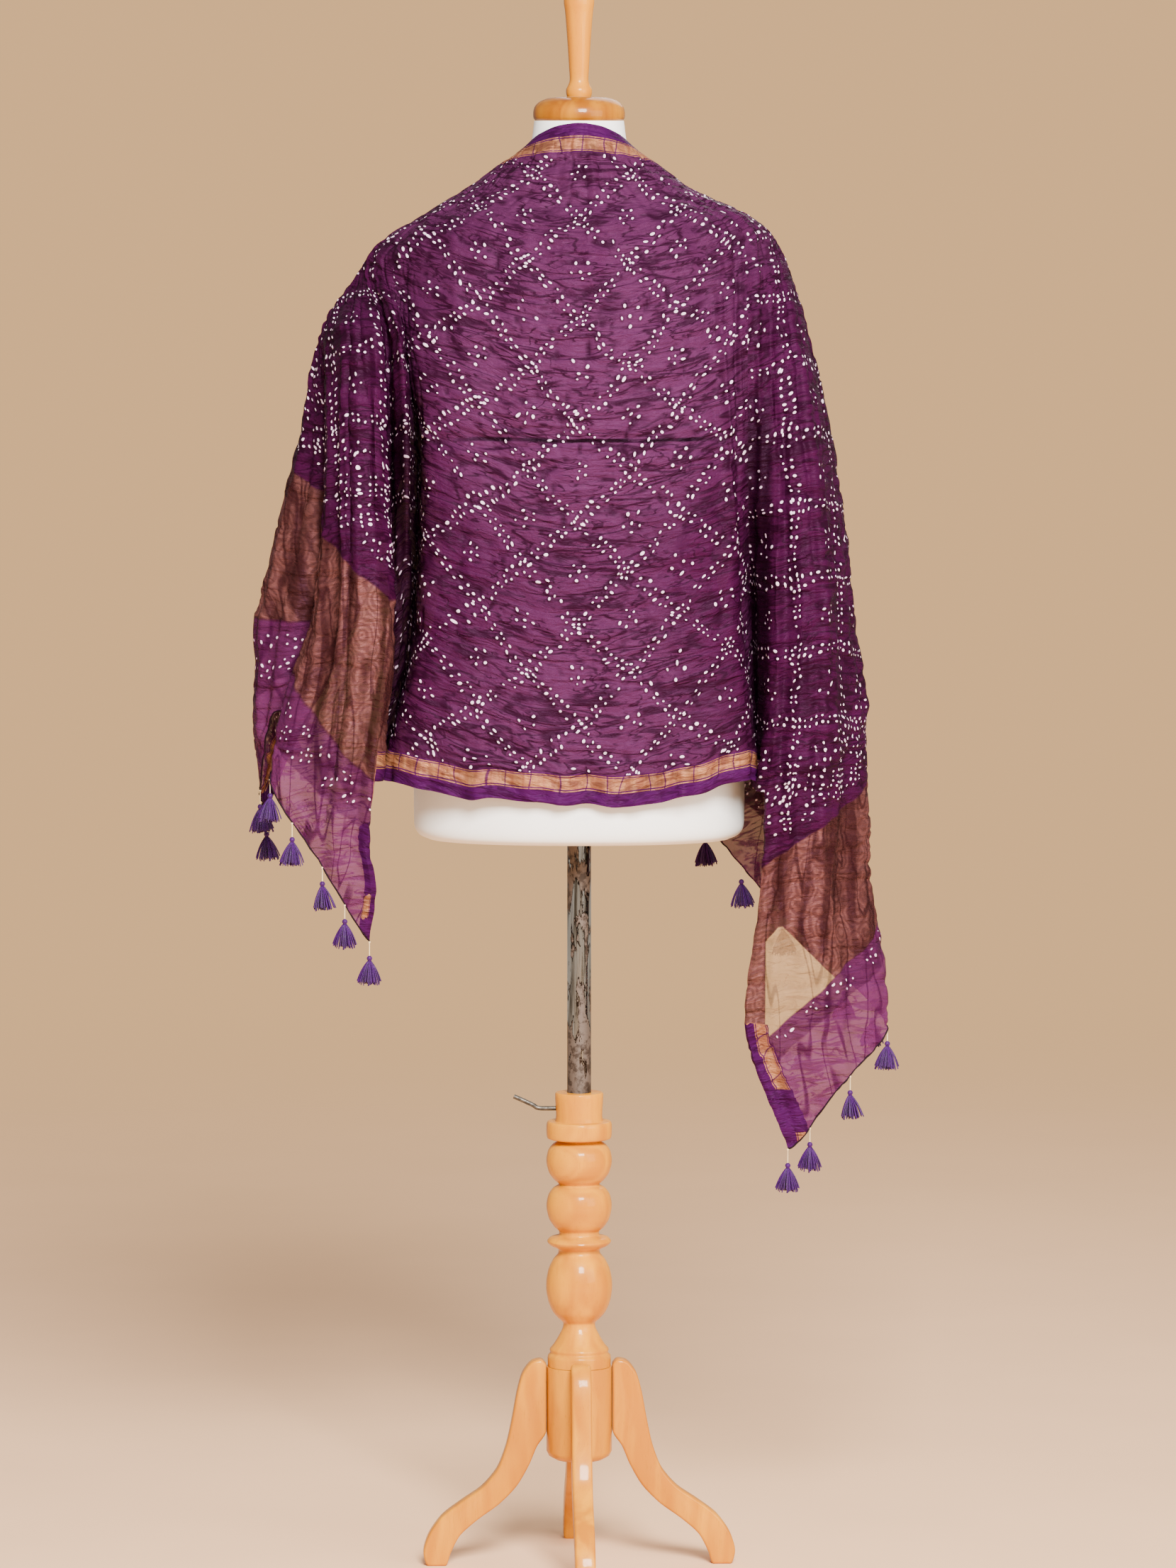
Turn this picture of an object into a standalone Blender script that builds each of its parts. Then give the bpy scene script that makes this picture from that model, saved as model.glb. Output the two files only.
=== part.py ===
"""A tie-dyed dupatta stole worn as a shawl by a limbless dress form on a turned wooden stand.

Metres, +Z up. The origin is on the floor under the pole, and -Y is the side where the cloth lies flat
across the form. Tables are in millimetres and are turned into metres where they are read.
"""
import math

import bmesh
import bpy
import numpy as np
from mathutils import Matrix, Vector

MM = 0.001

# Cloth
CLOTH_THICK = 1.5
SEAM_GAP = 0.44
FOLD_ROUNDNESS = 0.8
NECKLINE_POWER = 1.4
# Dress form
TORSO_SIDES = 28
TORSO_POWER = 2.3
FORM_BOTTOM_Z = 770.0
# Pole and its bores
POLE_RADIUS = 12.5
POLE_BOTTOM_Z = 311.0
POLE_TOP_Z = 820.0
RUNNING_GAP = 0.3
# Stand
TURNED_SIDES = 20
COLUMN_BOTTOM_Z = 211.0
COLUMN_TOP_Z = 501.0
HUB_BORE_FLOOR_Z = 134.0
LEG_THICK = 21.0
LEG_BEVEL = 2.5
LEG_TURN_DEG = 2.5
LEG_COUNT = 4
# Clamp screw
CLAMP_Z = 484.0
CLAMP_ROD_RADIUS = 2.4
CLAMP_HOLE_GAP = 0.4
# Tassels
TASSEL_STRANDS = 8
TASSEL_HEAD_RADIUS = 3.2
TASSEL_HEAD_LENGTH = 8.0
TASSEL_LENGTH = 29.0
TASSEL_SPREAD = 7.6
TASSEL_UNEVENNESS = 1.3
STRAND_TAPER = 0.8
THREAD_LENGTH = 15.0
THREAD_RADIUS = 0.7
THREAD_GAP = 0.3

# Form sections: height, half width, depth in front, depth behind.
TORSO_SECTIONS = [
    (770.0, 158.0, 98.0, 96.0),
    (775.0, 168.0, 107.0, 104.0),
    (786.0, 172.5, 111.0, 108.0),
    (830.0, 173.0, 113.0, 110.0),
    (900.0, 170.0, 112.0, 108.0),
    (980.0, 156.0, 104.0, 97.0),
    (1060.0, 142.0, 96.0, 85.0),
    (1130.0, 147.0, 107.0, 86.0),
    (1200.0, 158.0, 118.0, 92.0),
    (1270.0, 166.0, 113.0, 94.0),
    (1330.0, 171.0, 99.0, 88.0),
    (1370.0, 172.0, 87.0, 80.0),
    (1392.0, 168.0, 79.0, 74.0),
    (1408.0, 157.0, 73.0, 69.0),
    (1424.0, 134.0, 67.0, 64.0),
    (1440.0, 107.0, 61.0, 59.0),
    (1456.0, 81.0, 55.0, 54.0),
    (1474.0, 60.0, 50.0, 50.0),
    (1495.0, 49.5, 47.0, 47.0),
    (1517.0, 46.5, 46.5, 46.5),
]

# The cloth hangs in ten levels: 0 neckline, 1 slope, 2 shoulder, 3 chest, 4 bust, 5 waist, 6 hem,
# 7 and 8 down the falls, 9 end edge. The three upper levels are ovals round the neck and shoulders:
# half width right, half width left, depth in front, depth behind, height in front, side right,
# side left, behind.
UPPER_OVALS = [
    (57.0, 57.0, 60.0, 61.0, 1515.0, 1486.0, 1486.0, 1479.0),
    (113.0, 112.0, 78.0, 68.0, 1452.0, 1448.0, 1448.0, 1434.0),
    (201.0, 226.0, 103.0, 92.0, 1396.0, 1396.0, 1362.0, 1370.0),
]

# One row for each fold line of the cloth, from the left back edge round the front to the right one.
# Columns: name, angle on the upper ovals from the front centre, then x, y, z at levels 3 to 9.
FOLD_LINES = [
    ("left_edge", -140.0,
     [(-165, 82, 1270), (-186, 84, 1150), (-232, 72, 1000), (-290, 50, 880), (-306, 40, 848),
      (-318, 30, 818), (-328, 22, 789)]),
    ("left_back", -117.0,
     [(-214, 58, 1275), (-246, 54, 1155), (-286, 46, 1000), (-320, 34, 880), (-327, 28, 856),
      (-330, 22, 832), (-333, 16, 810)]),
    ("left_outer", -101.0,
     [(-269, 4, 1282), (-298, 0, 1160), (-333, -2, 1000), (-340, -4, 905), (-338, -5, 870),
      (-335, -6, 850), (-332, -6, 826)]),
    ("left_under", -97.0,
     [(-268, -12, 1284), (-280, -30, 1160), (-304, -38, 1010), (-318, -36, 940), (-318, -35, 924),
      (-317, -34, 914), (-316, -33, 904)]),
    ("left_tuck", -94.0,
     [(-265, -20, 1286), (-244, -40, 1160), (-252, -46, 1020), (-282, -46, 950), (-286, -45, 930),
      (-289, -44, 914), (-291, -43, 900)]),
    ("left_corner", -91.0,
     [(-262, -36, 1288), (-263, -66, 1160), (-276, -74, 1000), (-312, -78, 884), (-316, -77, 866),
      (-318, -76, 852), (-319, -75, 838)]),
    ("left_front", -86.0,
     [(-238, -80, 1290), (-238, -98, 1160), (-238, -104, 1000), (-256, -98, 846), (-262, -93, 802),
      (-262, -89, 772), (-265, -84, 748)]),
    ("left_fold", -79.0,
     [(-209, -90, 1290), (-206, -104, 1160), (-195, -108, 1000), (-214, -102, 838),
      (-217, -94, 768), (-212, -88, 722), (-219, -80, 670)]),
    ("left_gap", -71.0,
     [(-197, -72, 1290), (-194, -66, 1160), (-194, -74, 1000), (-208, -46, 838)]),
    ("left_ridge", -66.0,
     [(-184, -103, 1290), (-177, -106, 1168), (-179, -54, 1000), (-204, -24, 836)]),
    ("left_valley", -58.0,
     [(-180, -70, 1290), (-167, -36, 1160), (-172, -24, 1000), (-197, -10, 834)]),
    ("panel_left", -46.0,
     [(-166, -92, 1290), (-154, -104, 1160), (-159, -106, 1000), (-196, -88, 838)]),
    ("panel_mid_left", -24.0,
     [(-94, -112, 1290), (-90, -117, 1160), (-92, -118, 1000), (-104, -120, 821)]),
    ("panel_centre", 0.0,
     [(0, -119, 1290), (0, -123, 1160), (-2, -123, 1000), (0, -125, 815)]),
    ("panel_mid_right", 24.0,
     [(92, -112, 1290), (92, -117, 1160), (92, -117, 1000), (98, -119, 820)]),
    ("panel_right", 46.0,
     [(150, -95, 1290), (154, -104, 1160), (158, -105, 1000), (175, -94, 838)]),
    ("right_valley", 58.0,
     [(173, -90, 1290), (174, -84, 1160), (179, -34, 1000), (186, -16, 826)]),
    ("right_fold", 69.0,
     [(196, -76, 1290), (202, -92, 1160), (202, -96, 1000), (195, -92, 826), (188, -80, 720),
      (173, -66, 588), (218, -52, 449)]),
    ("right_front", 81.0,
     [(222, -62, 1290), (238, -86, 1160), (250, -88, 1000), (250, -84, 826), (248, -76, 726),
      (252, -64, 606), (270, -46, 511)]),
    ("right_outer", 93.0,
     [(240, -8, 1285), (266, -14, 1160), (285, -16, 1000), (299, -16, 826), (301, -16, 726),
      (317, -18, 634), (321, -22, 573)]),
    ("right_back", 115.0,
     [(212, 52, 1280), (232, 52, 1160), (240, 46, 1000), (244, 38, 838), (244, 32, 760),
      (246, 26, 700), (250, 18, 648)]),
    ("right_edge", 140.0,
     [(156, 86, 1270), (160, 92, 1150), (154, 96, 1000), (146, 104, 880), (140, 112, 838),
      (136, 116, 804), (132, 120, 773)]),
]
LINE_NUMBER = {row[0]: number for number, row in enumerate(FOLD_LINES)}
LAST_LINE = len(FOLD_LINES) - 1
LAST_LEVEL = 9

# Folds that run down the cloth: line number at the top and at the bottom, top and bottom level,
# half width in lines, depth in millimetres, proud of the cloth where positive.
LONG_FOLDS = [
    (12.2, 12.0, 1.2, 4.4, 0.20, -3.0),
    (13.7, 14.2, 1.0, 3.4, 0.22, -3.2),
    (14.6, 14.9, 1.5, 5.6, 0.18, -3.0),
    (17.30, 17.25, 3.6, 8.8, 0.12, -5.0),
    (17.62, 17.55, 4.6, 9.0, 0.12, -5.5),
    (18.10, 18.00, 3.0, 8.6, 0.14, 4.5),
    (18.50, 18.40, 4.2, 9.0, 0.14, -5.5),
    (19.40, 19.45, 3.4, 8.6, 0.18, -5.0),
    (20.10, 20.05, 3.0, 8.2, 0.18, 4.5),
    (20.60, 20.55, 3.6, 8.8, 0.16, -5.0),
    (6.70, 6.60, 3.2, 8.0, 0.14, -5.5),
    (6.30, 6.20, 4.0, 8.6, 0.14, 4.5),
    (5.60, 5.60, 3.6, 7.6, 0.16, -5.0),
    (3.00, 2.60, 3.6, 8.0, 0.20, -4.5),
    (1.45, 1.40, 3.0, 8.0, 0.18, -4.5),
    (0.60, 0.60, 3.4, 8.4, 0.16, 4.5),
]
# Creases across the cloth: level, first and last line number, half width in levels, depth.
CROSS_CREASES = [
    (3.78, 11.1, 15.1, 0.050, -3.2),
    (0.62, 10.6, 16.2, 0.120, -2.6),
    (1.36, 9.6, 17.0, 0.140, -2.4),
]

# Rows of the cloth's grid that lie at given levels, by line: the rows between them are evenly spaced.
# Row 17 is the hem of the front, and rows 13 and 17 on the left, 19 and 23 on the right are the two
# ends of the pallu.
LEFT_ROWS = [0, 8, 10, 13, 17, 21]
LEFT_LEVELS = {
    "left_edge": [0.0, 3.10, 3.60, 4.93, 6.10, 9.0],
    "left_outer": [0.0, 2.70, 3.10, 4.00, 4.97, 9.0],
    "left_corner": [0.0, 2.90, 3.40, 4.38, 5.40, 9.0],
    "left_fold": [0.0, 3.20, 3.70, 4.85, 6.00, 9.0],
    "left_valley": [0.0, 3.66, 3.90, 4.85, 6.00, 9.0],
}
RIGHT_ROWS = [0, 8, 10, 13, 17, 19, 23, 26]
RIGHT_LEVELS = {
    "right_valley": [0.0, 3.66, 3.90, 4.85, 6.00, 6.70, 8.20, 9.0],
    "right_fold": [0.0, 3.50, 3.90, 4.85, 6.00, 6.77, 8.30, 9.0],
    "right_outer": [0.0, 3.30, 3.75, 4.50, 5.50, 5.93, 7.50, 9.0],
    "right_edge": [0.0, 3.00, 3.40, 4.00, 4.70, 4.95, 6.30, 9.0],
}

# Stretches of cloth: node, material, first and last line, columns, first and last row.
STRETCHES = [
    ("cloth_front", "bandhani", "left_valley", "right_valley", 24, 0, 17),
    ("cloth_left_pleat", "bandhani", "left_fold", "left_valley", 12, 0, 17),
    ("cloth_left_fall", "bandhani", "left_corner", "left_fold", 8, 0, 13),
    ("pallu_left_fall", "zari_pallu", "left_corner", "left_fold", 8, 13, 17),
    ("end_left_fall", "bandhani", "left_corner", "left_fold", 8, 17, 21),
    ("cloth_left_outer", "bandhani", "left_outer", "left_corner", 9, 0, 13),
    ("pallu_left_outer", "zari_pallu", "left_outer", "left_corner", 9, 13, 17),
    ("end_left_outer", "bandhani", "left_outer", "left_corner", 9, 17, 21),
    ("cloth_left_back", "bandhani", "left_edge", "left_outer", 6, 0, 13),
    ("pallu_left_back", "zari_pallu", "left_edge", "left_outer", 6, 13, 17),
    ("end_left_back", "bandhani", "left_edge", "left_outer", 6, 17, 21),
    ("cloth_right_pleat", "bandhani", "right_valley", "right_fold", 4, 0, 17),
    ("cloth_right_fall", "bandhani", "right_fold", "right_outer", 8, 0, 19),
    ("pallu_right_fall", "zari_pallu", "right_fold", "right_outer", 8, 19, 23),
    ("end_right_fall", "bandhani", "right_fold", "right_outer", 8, 23, 26),
    ("cloth_right_back", "bandhani", "right_outer", "right_edge", 6, 0, 19),
    ("pallu_right_back", "zari_pallu", "right_outer", "right_edge", 6, 19, 23),
    ("end_right_back", "bandhani", "right_outer", "right_edge", 6, 23, 26),
]

# Tassels along the end edges, by line number.
TASSEL_PLACES = [
    ("left", [7.0, 6.5, 6.0, 5.5, 5.0, 3.67, 1.67, 0.0]),
    ("right", [17.0, 17.5, 18.25, 19.0, 19.33, 19.67, 20.33, 20.67, 21.0]),
]

# Turned profiles from the bottom up: radius and height.
COLUMN_PROFILE = [
    (33.0, 211.0), (33.0, 222.0), (30.5, 225.5), (31.0, 229.0), (27.5, 234.0), (22.5, 243.0),
    (18.8, 252.0), (18.8, 257.0), (25.5, 262.0), (31.5, 274.0), (34.8, 291.0), (34.2, 306.0),
    (30.0, 321.0), (24.5, 330.0), (24.5, 334.5), (31.5, 339.5), (33.6, 343.5), (31.0, 347.5),
    (23.6, 350.5), (23.6, 354.5), (29.0, 358.5), (33.2, 368.0), (34.2, 380.0), (32.4, 391.5),
    (27.5, 400.0), (23.4, 403.5), (29.0, 408.0), (33.4, 418.0), (34.4, 428.5), (32.0, 439.0),
    (26.5, 446.0), (24.4, 449.5), (33.0, 452.5), (34.0, 455.0), (34.0, 468.5), (32.6, 470.5),
    (25.2, 471.0), (25.2, 499.5), (24.2, 501.0),
]
HUB_PROFILE = [(25.0, 112.0), (32.0, 116.0), (34.5, 121.0), (34.5, 210.7)]
CAP_PROFILE = [
    (45.5, 1517.3), (47.3, 1519.5), (47.6, 1526.0), (45.8, 1532.0), (40.5, 1537.0), (31.0, 1540.5),
    (19.0, 1541.5),
]
FINIAL_PROFILE = [
    (12.5, 1541.8), (13.4, 1545.0), (13.4, 1549.5), (11.2, 1554.0), (9.8, 1558.5), (10.4, 1572.0),
    (12.2, 1600.0), (14.6, 1630.0), (15.8, 1638.0), (15.6, 1644.0), (12.6, 1650.5), (7.0, 1654.0),
]

# One leg seen from the side: reach from the pole's axis and height, round the outline.
LEG_OUTLINE = [
    (34.9, 142.0), (34.9, 213.0), (40.0, 218.5), (50.0, 216.5), (59.5, 205.0), (65.5, 185.0),
    (70.5, 158.0), (77.0, 128.0), (87.0, 102.0), (103.0, 83.0), (124.0, 68.5), (145.0, 52.5),
    (159.0, 33.0), (164.5, 14.0), (160.0, 0.0), (141.0, 0.0), (136.0, 13.0), (126.0, 32.0),
    (107.0, 49.0), (85.0, 65.0), (66.0, 84.5), (53.0, 107.0), (44.5, 127.0),
]

# Material: colour, roughness, metallic.
FINISHES = {
    "bandhani": ((0.12, 0.015, 0.15), 0.55, 0.0),
    "zari_pallu": ((0.17, 0.06, 0.045), 0.42, 0.25),
    "tassel_thread": ((0.12, 0.02, 0.34), 0.60, 0.0),
    "form_skin": ((0.86, 0.85, 0.83), 0.45, 0.0),
    "turned_wood": ((0.72, 0.40, 0.13), 0.32, 0.0),
    "pole_steel": ((0.62, 0.60, 0.57), 0.25, 0.9),
}


def clear_scene():
    """Takes every object out of the open file."""
    for thing in list(bpy.data.objects):
        bpy.data.objects.remove(thing)


def finish_named(name):
    """The named finish as a Principled material, made once."""
    found = bpy.data.materials.get(name)
    if found:
        return found
    colour, roughness, metallic = FINISHES[name]
    made = bpy.data.materials.new(name)
    made.use_nodes = True
    shader = made.node_tree.nodes["Principled BSDF"]
    shader.inputs["Base Color"].default_value = (*colour, 1.0)
    shader.inputs["Roughness"].default_value = roughness
    shader.inputs["Metallic"].default_value = metallic
    return made


def body_empty(name, place=(0.0, 0.0, 0.0)):
    """An empty that carries the pieces of one moving body, on its joint's axis."""
    empty = bpy.data.objects.new(name, None)
    bpy.context.scene.collection.objects.link(empty)
    empty.location = Vector(place) * MM
    return empty


def add_piece(name, bm, finish, carrier, smooth_deg=None):
    """Turns a bmesh in world millimetres into a named object in metres, carried by an empty."""
    bmesh.ops.recalc_face_normals(bm, faces=bm.faces)
    bmesh.ops.scale(bm, vec=Vector((MM, MM, MM)), verts=bm.verts)
    bmesh.ops.translate(bm, vec=-carrier.location, verts=bm.verts)
    mesh = bpy.data.meshes.new(name)
    bm.to_mesh(mesh)
    bm.free()
    mesh.materials.append(finish_named(finish))
    if smooth_deg:
        mesh.shade_smooth()
        mesh.set_sharp_from_angle(angle=math.radians(smooth_deg))
    piece = bpy.data.objects.new(name, mesh)
    bpy.context.scene.collection.objects.link(piece)
    piece.parent = carrier
    return piece


def ring_stack(rings, closed=False):
    """A bmesh skinned over rings of equal count, capped at both ends or closed on itself."""
    bm = bmesh.new()
    loops = [[bm.verts.new(point) for point in ring] for ring in rings]
    pairs = list(zip(loops, loops[1:]))
    if closed:
        pairs.append((loops[-1], loops[0]))
    for lower, upper in pairs:
        for this in range(len(lower)):
            after = (this + 1) % len(lower)
            bm.faces.new((lower[this], lower[after], upper[after], upper[this]))
    if not closed:
        bm.faces.new(loops[0])
        bm.faces.new(loops[-1])
    return bm


def circle(radius, height, sides=TURNED_SIDES):
    """A level ring of points round the pole's axis."""
    step = 2 * math.pi / sides
    return [(radius * math.cos(step * n), radius * math.sin(step * n), height) for n in range(sides)]


def bore_radius(sides):
    """Radius of a faceted bore whose flats stay a running gap off the pole."""
    return (POLE_RADIUS + RUNNING_GAP) / math.cos(math.pi / sides)


def turned(profile, sides=TURNED_SIDES):
    """Rings of a turned profile."""
    return [circle(radius, height, sides) for radius, height in profile]


def superoval(half_width, front, back, height, sides, power):
    """A level ring with its own depth in front and behind."""
    ring = []
    for number in range(sides):
        angle = 2 * math.pi * number / sides
        across, along = math.cos(angle), math.sin(angle)
        depth = back if along > 0 else front
        x = half_width * math.copysign(abs(across) ** (2 / power), across)
        y = depth * math.copysign(abs(along) ** (2 / power), along)
        ring.append((x, y, height))
    return ring


def monotone_slopes(values):
    """Slopes of a smooth curve through evenly spaced values, with no overshoot."""
    steps = np.diff(values, axis=0)
    slopes = np.zeros_like(values)
    before, after = steps[:-1], steps[1:]
    same = before * after > 0
    total = np.where(same, before + after, 1.0)
    slopes[1:-1] = np.where(same, 2 * before * after / total, 0.0)
    slopes[0], slopes[-1] = steps[0], steps[-1]
    return slopes


def upper_point(oval, angle_deg):
    """A point of an upper oval, at an angle from the front centre, right side positive."""
    right, left, front, back, z_front, z_right, z_left, z_back = oval
    angle = math.radians(angle_deg)
    across, along = math.sin(angle), math.cos(angle)
    width, z_side = (right, z_right) if across > 0 else (left, z_left)
    depth, z_far = (front, z_front) if along > 0 else (back, z_back)
    height = z_side + (z_far - z_side) * abs(along) ** NECKLINE_POWER
    return (width * across, -depth * along, height)


def fold_line_points():
    """Points of every fold line at every level. A line that ends at the hem goes on straight."""
    lines = []
    for _, angle, lower in FOLD_LINES:
        points = [upper_point(oval, angle) for oval in UPPER_OVALS] + list(lower)
        while len(points) <= LAST_LEVEL:
            x, y, z = points[-1]
            points.append((x, y, z - 60.0))
        lines.append(points)
    return np.array(lines, float)


LINES = fold_line_points()
SLOPES = np.array([monotone_slopes(line) for line in LINES])


def hermite(start, end, start_slope, end_slope, share):
    """A cubic from start to end."""
    squared, cubed = share * share, share ** 3
    return (
        (2 * cubed - 3 * squared + 1) * start
        + (cubed - 2 * squared + share) * start_slope
        + (3 * squared - 2 * cubed) * end
        + (cubed - squared) * end_slope
    )


def section(level):
    """Where every fold line is at a level."""
    first = min(int(level), LAST_LEVEL - 1)
    return hermite(LINES[:, first], LINES[:, first + 1], SLOPES[:, first], SLOPES[:, first + 1],
                   level - first)


def draped(line, level):
    """A point of the smooth cloth, before its folds: a rounded curve through the section."""
    points = section(level)
    first = max(0, min(int(line), len(points) - 2))
    near = [max(0, min(first + shift, len(points) - 1)) for shift in (-1, 0, 1, 2)]
    a, b, c, d = (points[number] for number in near)
    spans = [max(math.dist(p, q), 1e-6) ** 0.5 for p, q in ((a, b), (b, c), (c, d))]
    into, out = (c - b) / spans[1], (c - b) / spans[1]
    if near[0] != near[1]:
        into = ((b - a) / spans[0] * spans[1] + (c - b) / spans[1] * spans[0]) / (spans[0] + spans[1])
    if near[3] != near[2]:
        out = ((c - b) / spans[1] * spans[2] + (d - c) / spans[2] * spans[1]) / (spans[1] + spans[2])
    reach = spans[1] * FOLD_ROUNDNESS
    return hermite(b, c, into * reach, out * reach, line - first)


def bell(distance, half_width):
    """A smooth bump that is one at its middle."""
    return math.exp(-(distance / half_width) ** 2)


def eased(value, low, high):
    """Rises smoothly from nought at low to one at high."""
    share = min(1.0, max(0.0, (value - low) / (high - low)))
    return share * share * (3 - 2 * share)


def fold_height(line, level):
    """How far the folds and creases lift the cloth off its smooth shape."""
    total = 0.0
    for top, bottom, start, stop, half_width, depth in LONG_FOLDS:
        middle = top + (bottom - top) * (level - start) / (stop - start)
        fade = eased(level, start - 0.6, start + 0.6) * (1 - eased(level, stop - 0.3, stop + 0.5))
        total += depth * fade * bell(line - middle, half_width)
    for middle, first, last, half_width, depth in CROSS_CREASES:
        fade = eased(line, first - 0.3, first + 0.3) * (1 - eased(line, last - 0.3, last + 0.3))
        total += depth * fade * bell(level - middle, half_width)
    return total


def outward(line, level):
    """The smooth cloth's unit normal, away from the form."""
    across = draped(min(line + 0.02, LAST_LINE), level) - draped(max(line - 0.02, 0), level)
    down = draped(line, min(level + 0.02, LAST_LEVEL)) - draped(line, max(level - 0.02, 0))
    normal = np.cross(down, across)
    return normal / np.linalg.norm(normal)


def cloth_point(line, level, inward=0.0):
    """A point of the folded cloth, on its outer face or a distance inward of it."""
    return draped(line, level) + outward(line, level) * (fold_height(line, level) - inward)


def row_level(line, row):
    """The level of a row of the grid where it crosses a line."""
    left = line <= LINE_NUMBER["left_valley"]
    rows, table = (LEFT_ROWS, LEFT_LEVELS) if left else (RIGHT_ROWS, RIGHT_LEVELS)
    numbers = [LINE_NUMBER[name] for name in table]
    levels = [np.interp(row, rows, table[name]) for name in table]
    return float(np.interp(line, numbers, levels))


def row_point(line, row, inward=0.0):
    """A point of the folded cloth where a row of the grid crosses a line."""
    return cloth_point(line, row_level(line, row), inward)


def last_row(line):
    """The row of the end edge, which the left and right sides count differently."""
    return LEFT_ROWS[-1] if line < LINE_NUMBER["panel_centre"] else RIGHT_ROWS[-1]


def square_to(direction, other):
    """The part of a direction that is square to another, at unit length."""
    square = direction - other * (direction @ other) / (other @ other)
    return square / np.linalg.norm(square)


def edge_directions(line, row):
    """Unit directions within the cloth: square to the row going down, square to the line going on."""
    along = row_point(min(line + 0.04, LAST_LINE), row) - row_point(max(line - 0.04, 0), row)
    down = row_point(line, min(row + 0.1, last_row(line))) - row_point(line, max(row - 0.1, 0))
    return square_to(down, along), square_to(along, down)


def wall_point(line, row, stretch):
    """A point of a stretch's outer face, moved in from the seam where it lies on the border."""
    _, _, first, last, _, top_row, bottom_row = stretch
    downwards, onwards = edge_directions(line, row)
    point = row_point(line, row)
    point += downwards * (int(row == top_row) - int(row == bottom_row)) * SEAM_GAP / 2
    side = int(line == LINE_NUMBER[first]) - int(line == LINE_NUMBER[last])
    point += onwards * side * SEAM_GAP / 2
    return point


def cloth_wall(stretch):
    """A stretch of cloth as a closed wall: an outer grid, an inner grid and their rim."""
    _, _, first, last, column_count, top_row, bottom_row = stretch
    lines = np.linspace(LINE_NUMBER[first], LINE_NUMBER[last], column_count + 1)
    grid = [[(line, row) for line in lines] for row in range(top_row, bottom_row + 1)]
    outer = np.array([[wall_point(*place, stretch) for place in line_row] for line_row in grid])
    normals = np.array([[outward(line, row_level(line, row)) for line, row in line_row]
                        for line_row in grid])
    bm = bmesh.new()
    skins = []
    for face in (outer, outer - normals * CLOTH_THICK):
        skins.append([[bm.verts.new(point) for point in line_row] for line_row in face])
    rows, columns = len(grid), len(grid[0])
    for skin in skins:
        for r in range(rows - 1):
            for c in range(columns - 1):
                quad = (skin[r][c], skin[r][c + 1], skin[r + 1][c + 1], skin[r + 1][c])
                halves = ((0, 1, 2), (0, 2, 3)) if (r + c) % 2 else ((0, 1, 3), (1, 2, 3))
                for half in halves:
                    bm.faces.new([quad[corner] for corner in half])
    border = [(0, c) for c in range(columns)] + [(r, columns - 1) for r in range(1, rows)]
    border += [(rows - 1, c) for c in range(columns - 2, -1, -1)]
    border += [(r, 0) for r in range(rows - 2, 0, -1)]
    for this, after in zip(border, border[1:] + border[:1]):
        (r, c), (r_far, c_far) = sorted((this, after))
        corner, far_corner = skins[0][r][c], skins[1][r_far][c_far]
        bm.faces.new((corner, skins[0][r_far][c_far], far_corner))
        bm.faces.new((corner, far_corner, skins[1][r][c]))
    return bm


def make_cloth(carrier):
    """Every stretch of the dupatta."""
    for stretch in STRETCHES:
        add_piece(stretch[0], cloth_wall(stretch), stretch[1], carrier)


def tassel(place, lean):
    """A tassel hanging from a point: thread, head and strands, all one body."""
    bm = bmesh.new()
    head, foot = TASSEL_HEAD_RADIUS, THREAD_LENGTH + TASSEL_HEAD_LENGTH
    profile = [(THREAD_RADIUS, 0.0), (THREAD_RADIUS, THREAD_LENGTH), (head, THREAD_LENGTH + head),
               (head, foot), (head * 0.3, foot)]
    loops = []
    for radius, drop in profile:
        centre = Vector(place) - Vector((0, 0, drop))
        ring = circle(radius, 0.0, TASSEL_STRANDS)
        loops.append([bm.verts.new(centre + Vector(point)) for point in ring])
    bm.faces.new(loops[0])
    bm.faces.new(loops[-1])
    bands = []
    for upper, lower in zip(loops, loops[1:]):
        for this in range(TASSEL_STRANDS):
            after = (this + 1) % TASSEL_STRANDS
            bands.append(bm.faces.new((upper[this], upper[after], lower[after], lower[this])))
    for number, root in enumerate(bands[-TASSEL_STRANDS:]):
        grown = bmesh.ops.extrude_discrete_faces(bm, faces=[root])["faces"][0]
        angle = 2 * math.pi * (number + 0.5) / TASSEL_STRANDS
        reach = TASSEL_SPREAD + TASSEL_UNEVENNESS * math.sin(2.3 * number)
        drop = THREAD_LENGTH + TASSEL_LENGTH + TASSEL_UNEVENNESS * math.sin(1.7 * number)
        offset = (reach * math.cos(angle) + lean * TASSEL_LENGTH, reach * math.sin(angle), -drop)
        middle = grown.calc_center_median()
        for vert in grown.verts:
            vert.co = Vector(place) + Vector(offset) + (vert.co - middle) * STRAND_TAPER
    return bm


def make_tassels(carrier):
    """The tassels along both end edges."""
    for side, places in TASSEL_PLACES:
        for number, line in enumerate(places, 1):
            off_edge = edge_directions(line, last_row(line))[0]
            clearance = THREAD_GAP + THREAD_RADIUS * math.hypot(off_edge[0], off_edge[1])
            top = row_point(line, last_row(line), CLOTH_THICK / 2) + off_edge * clearance
            lean = 0.12 * math.sin(2.1 * number)
            add_piece(f"tassel_{side}_{number}", tassel(top, lean), "tassel_thread", carrier)


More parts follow.
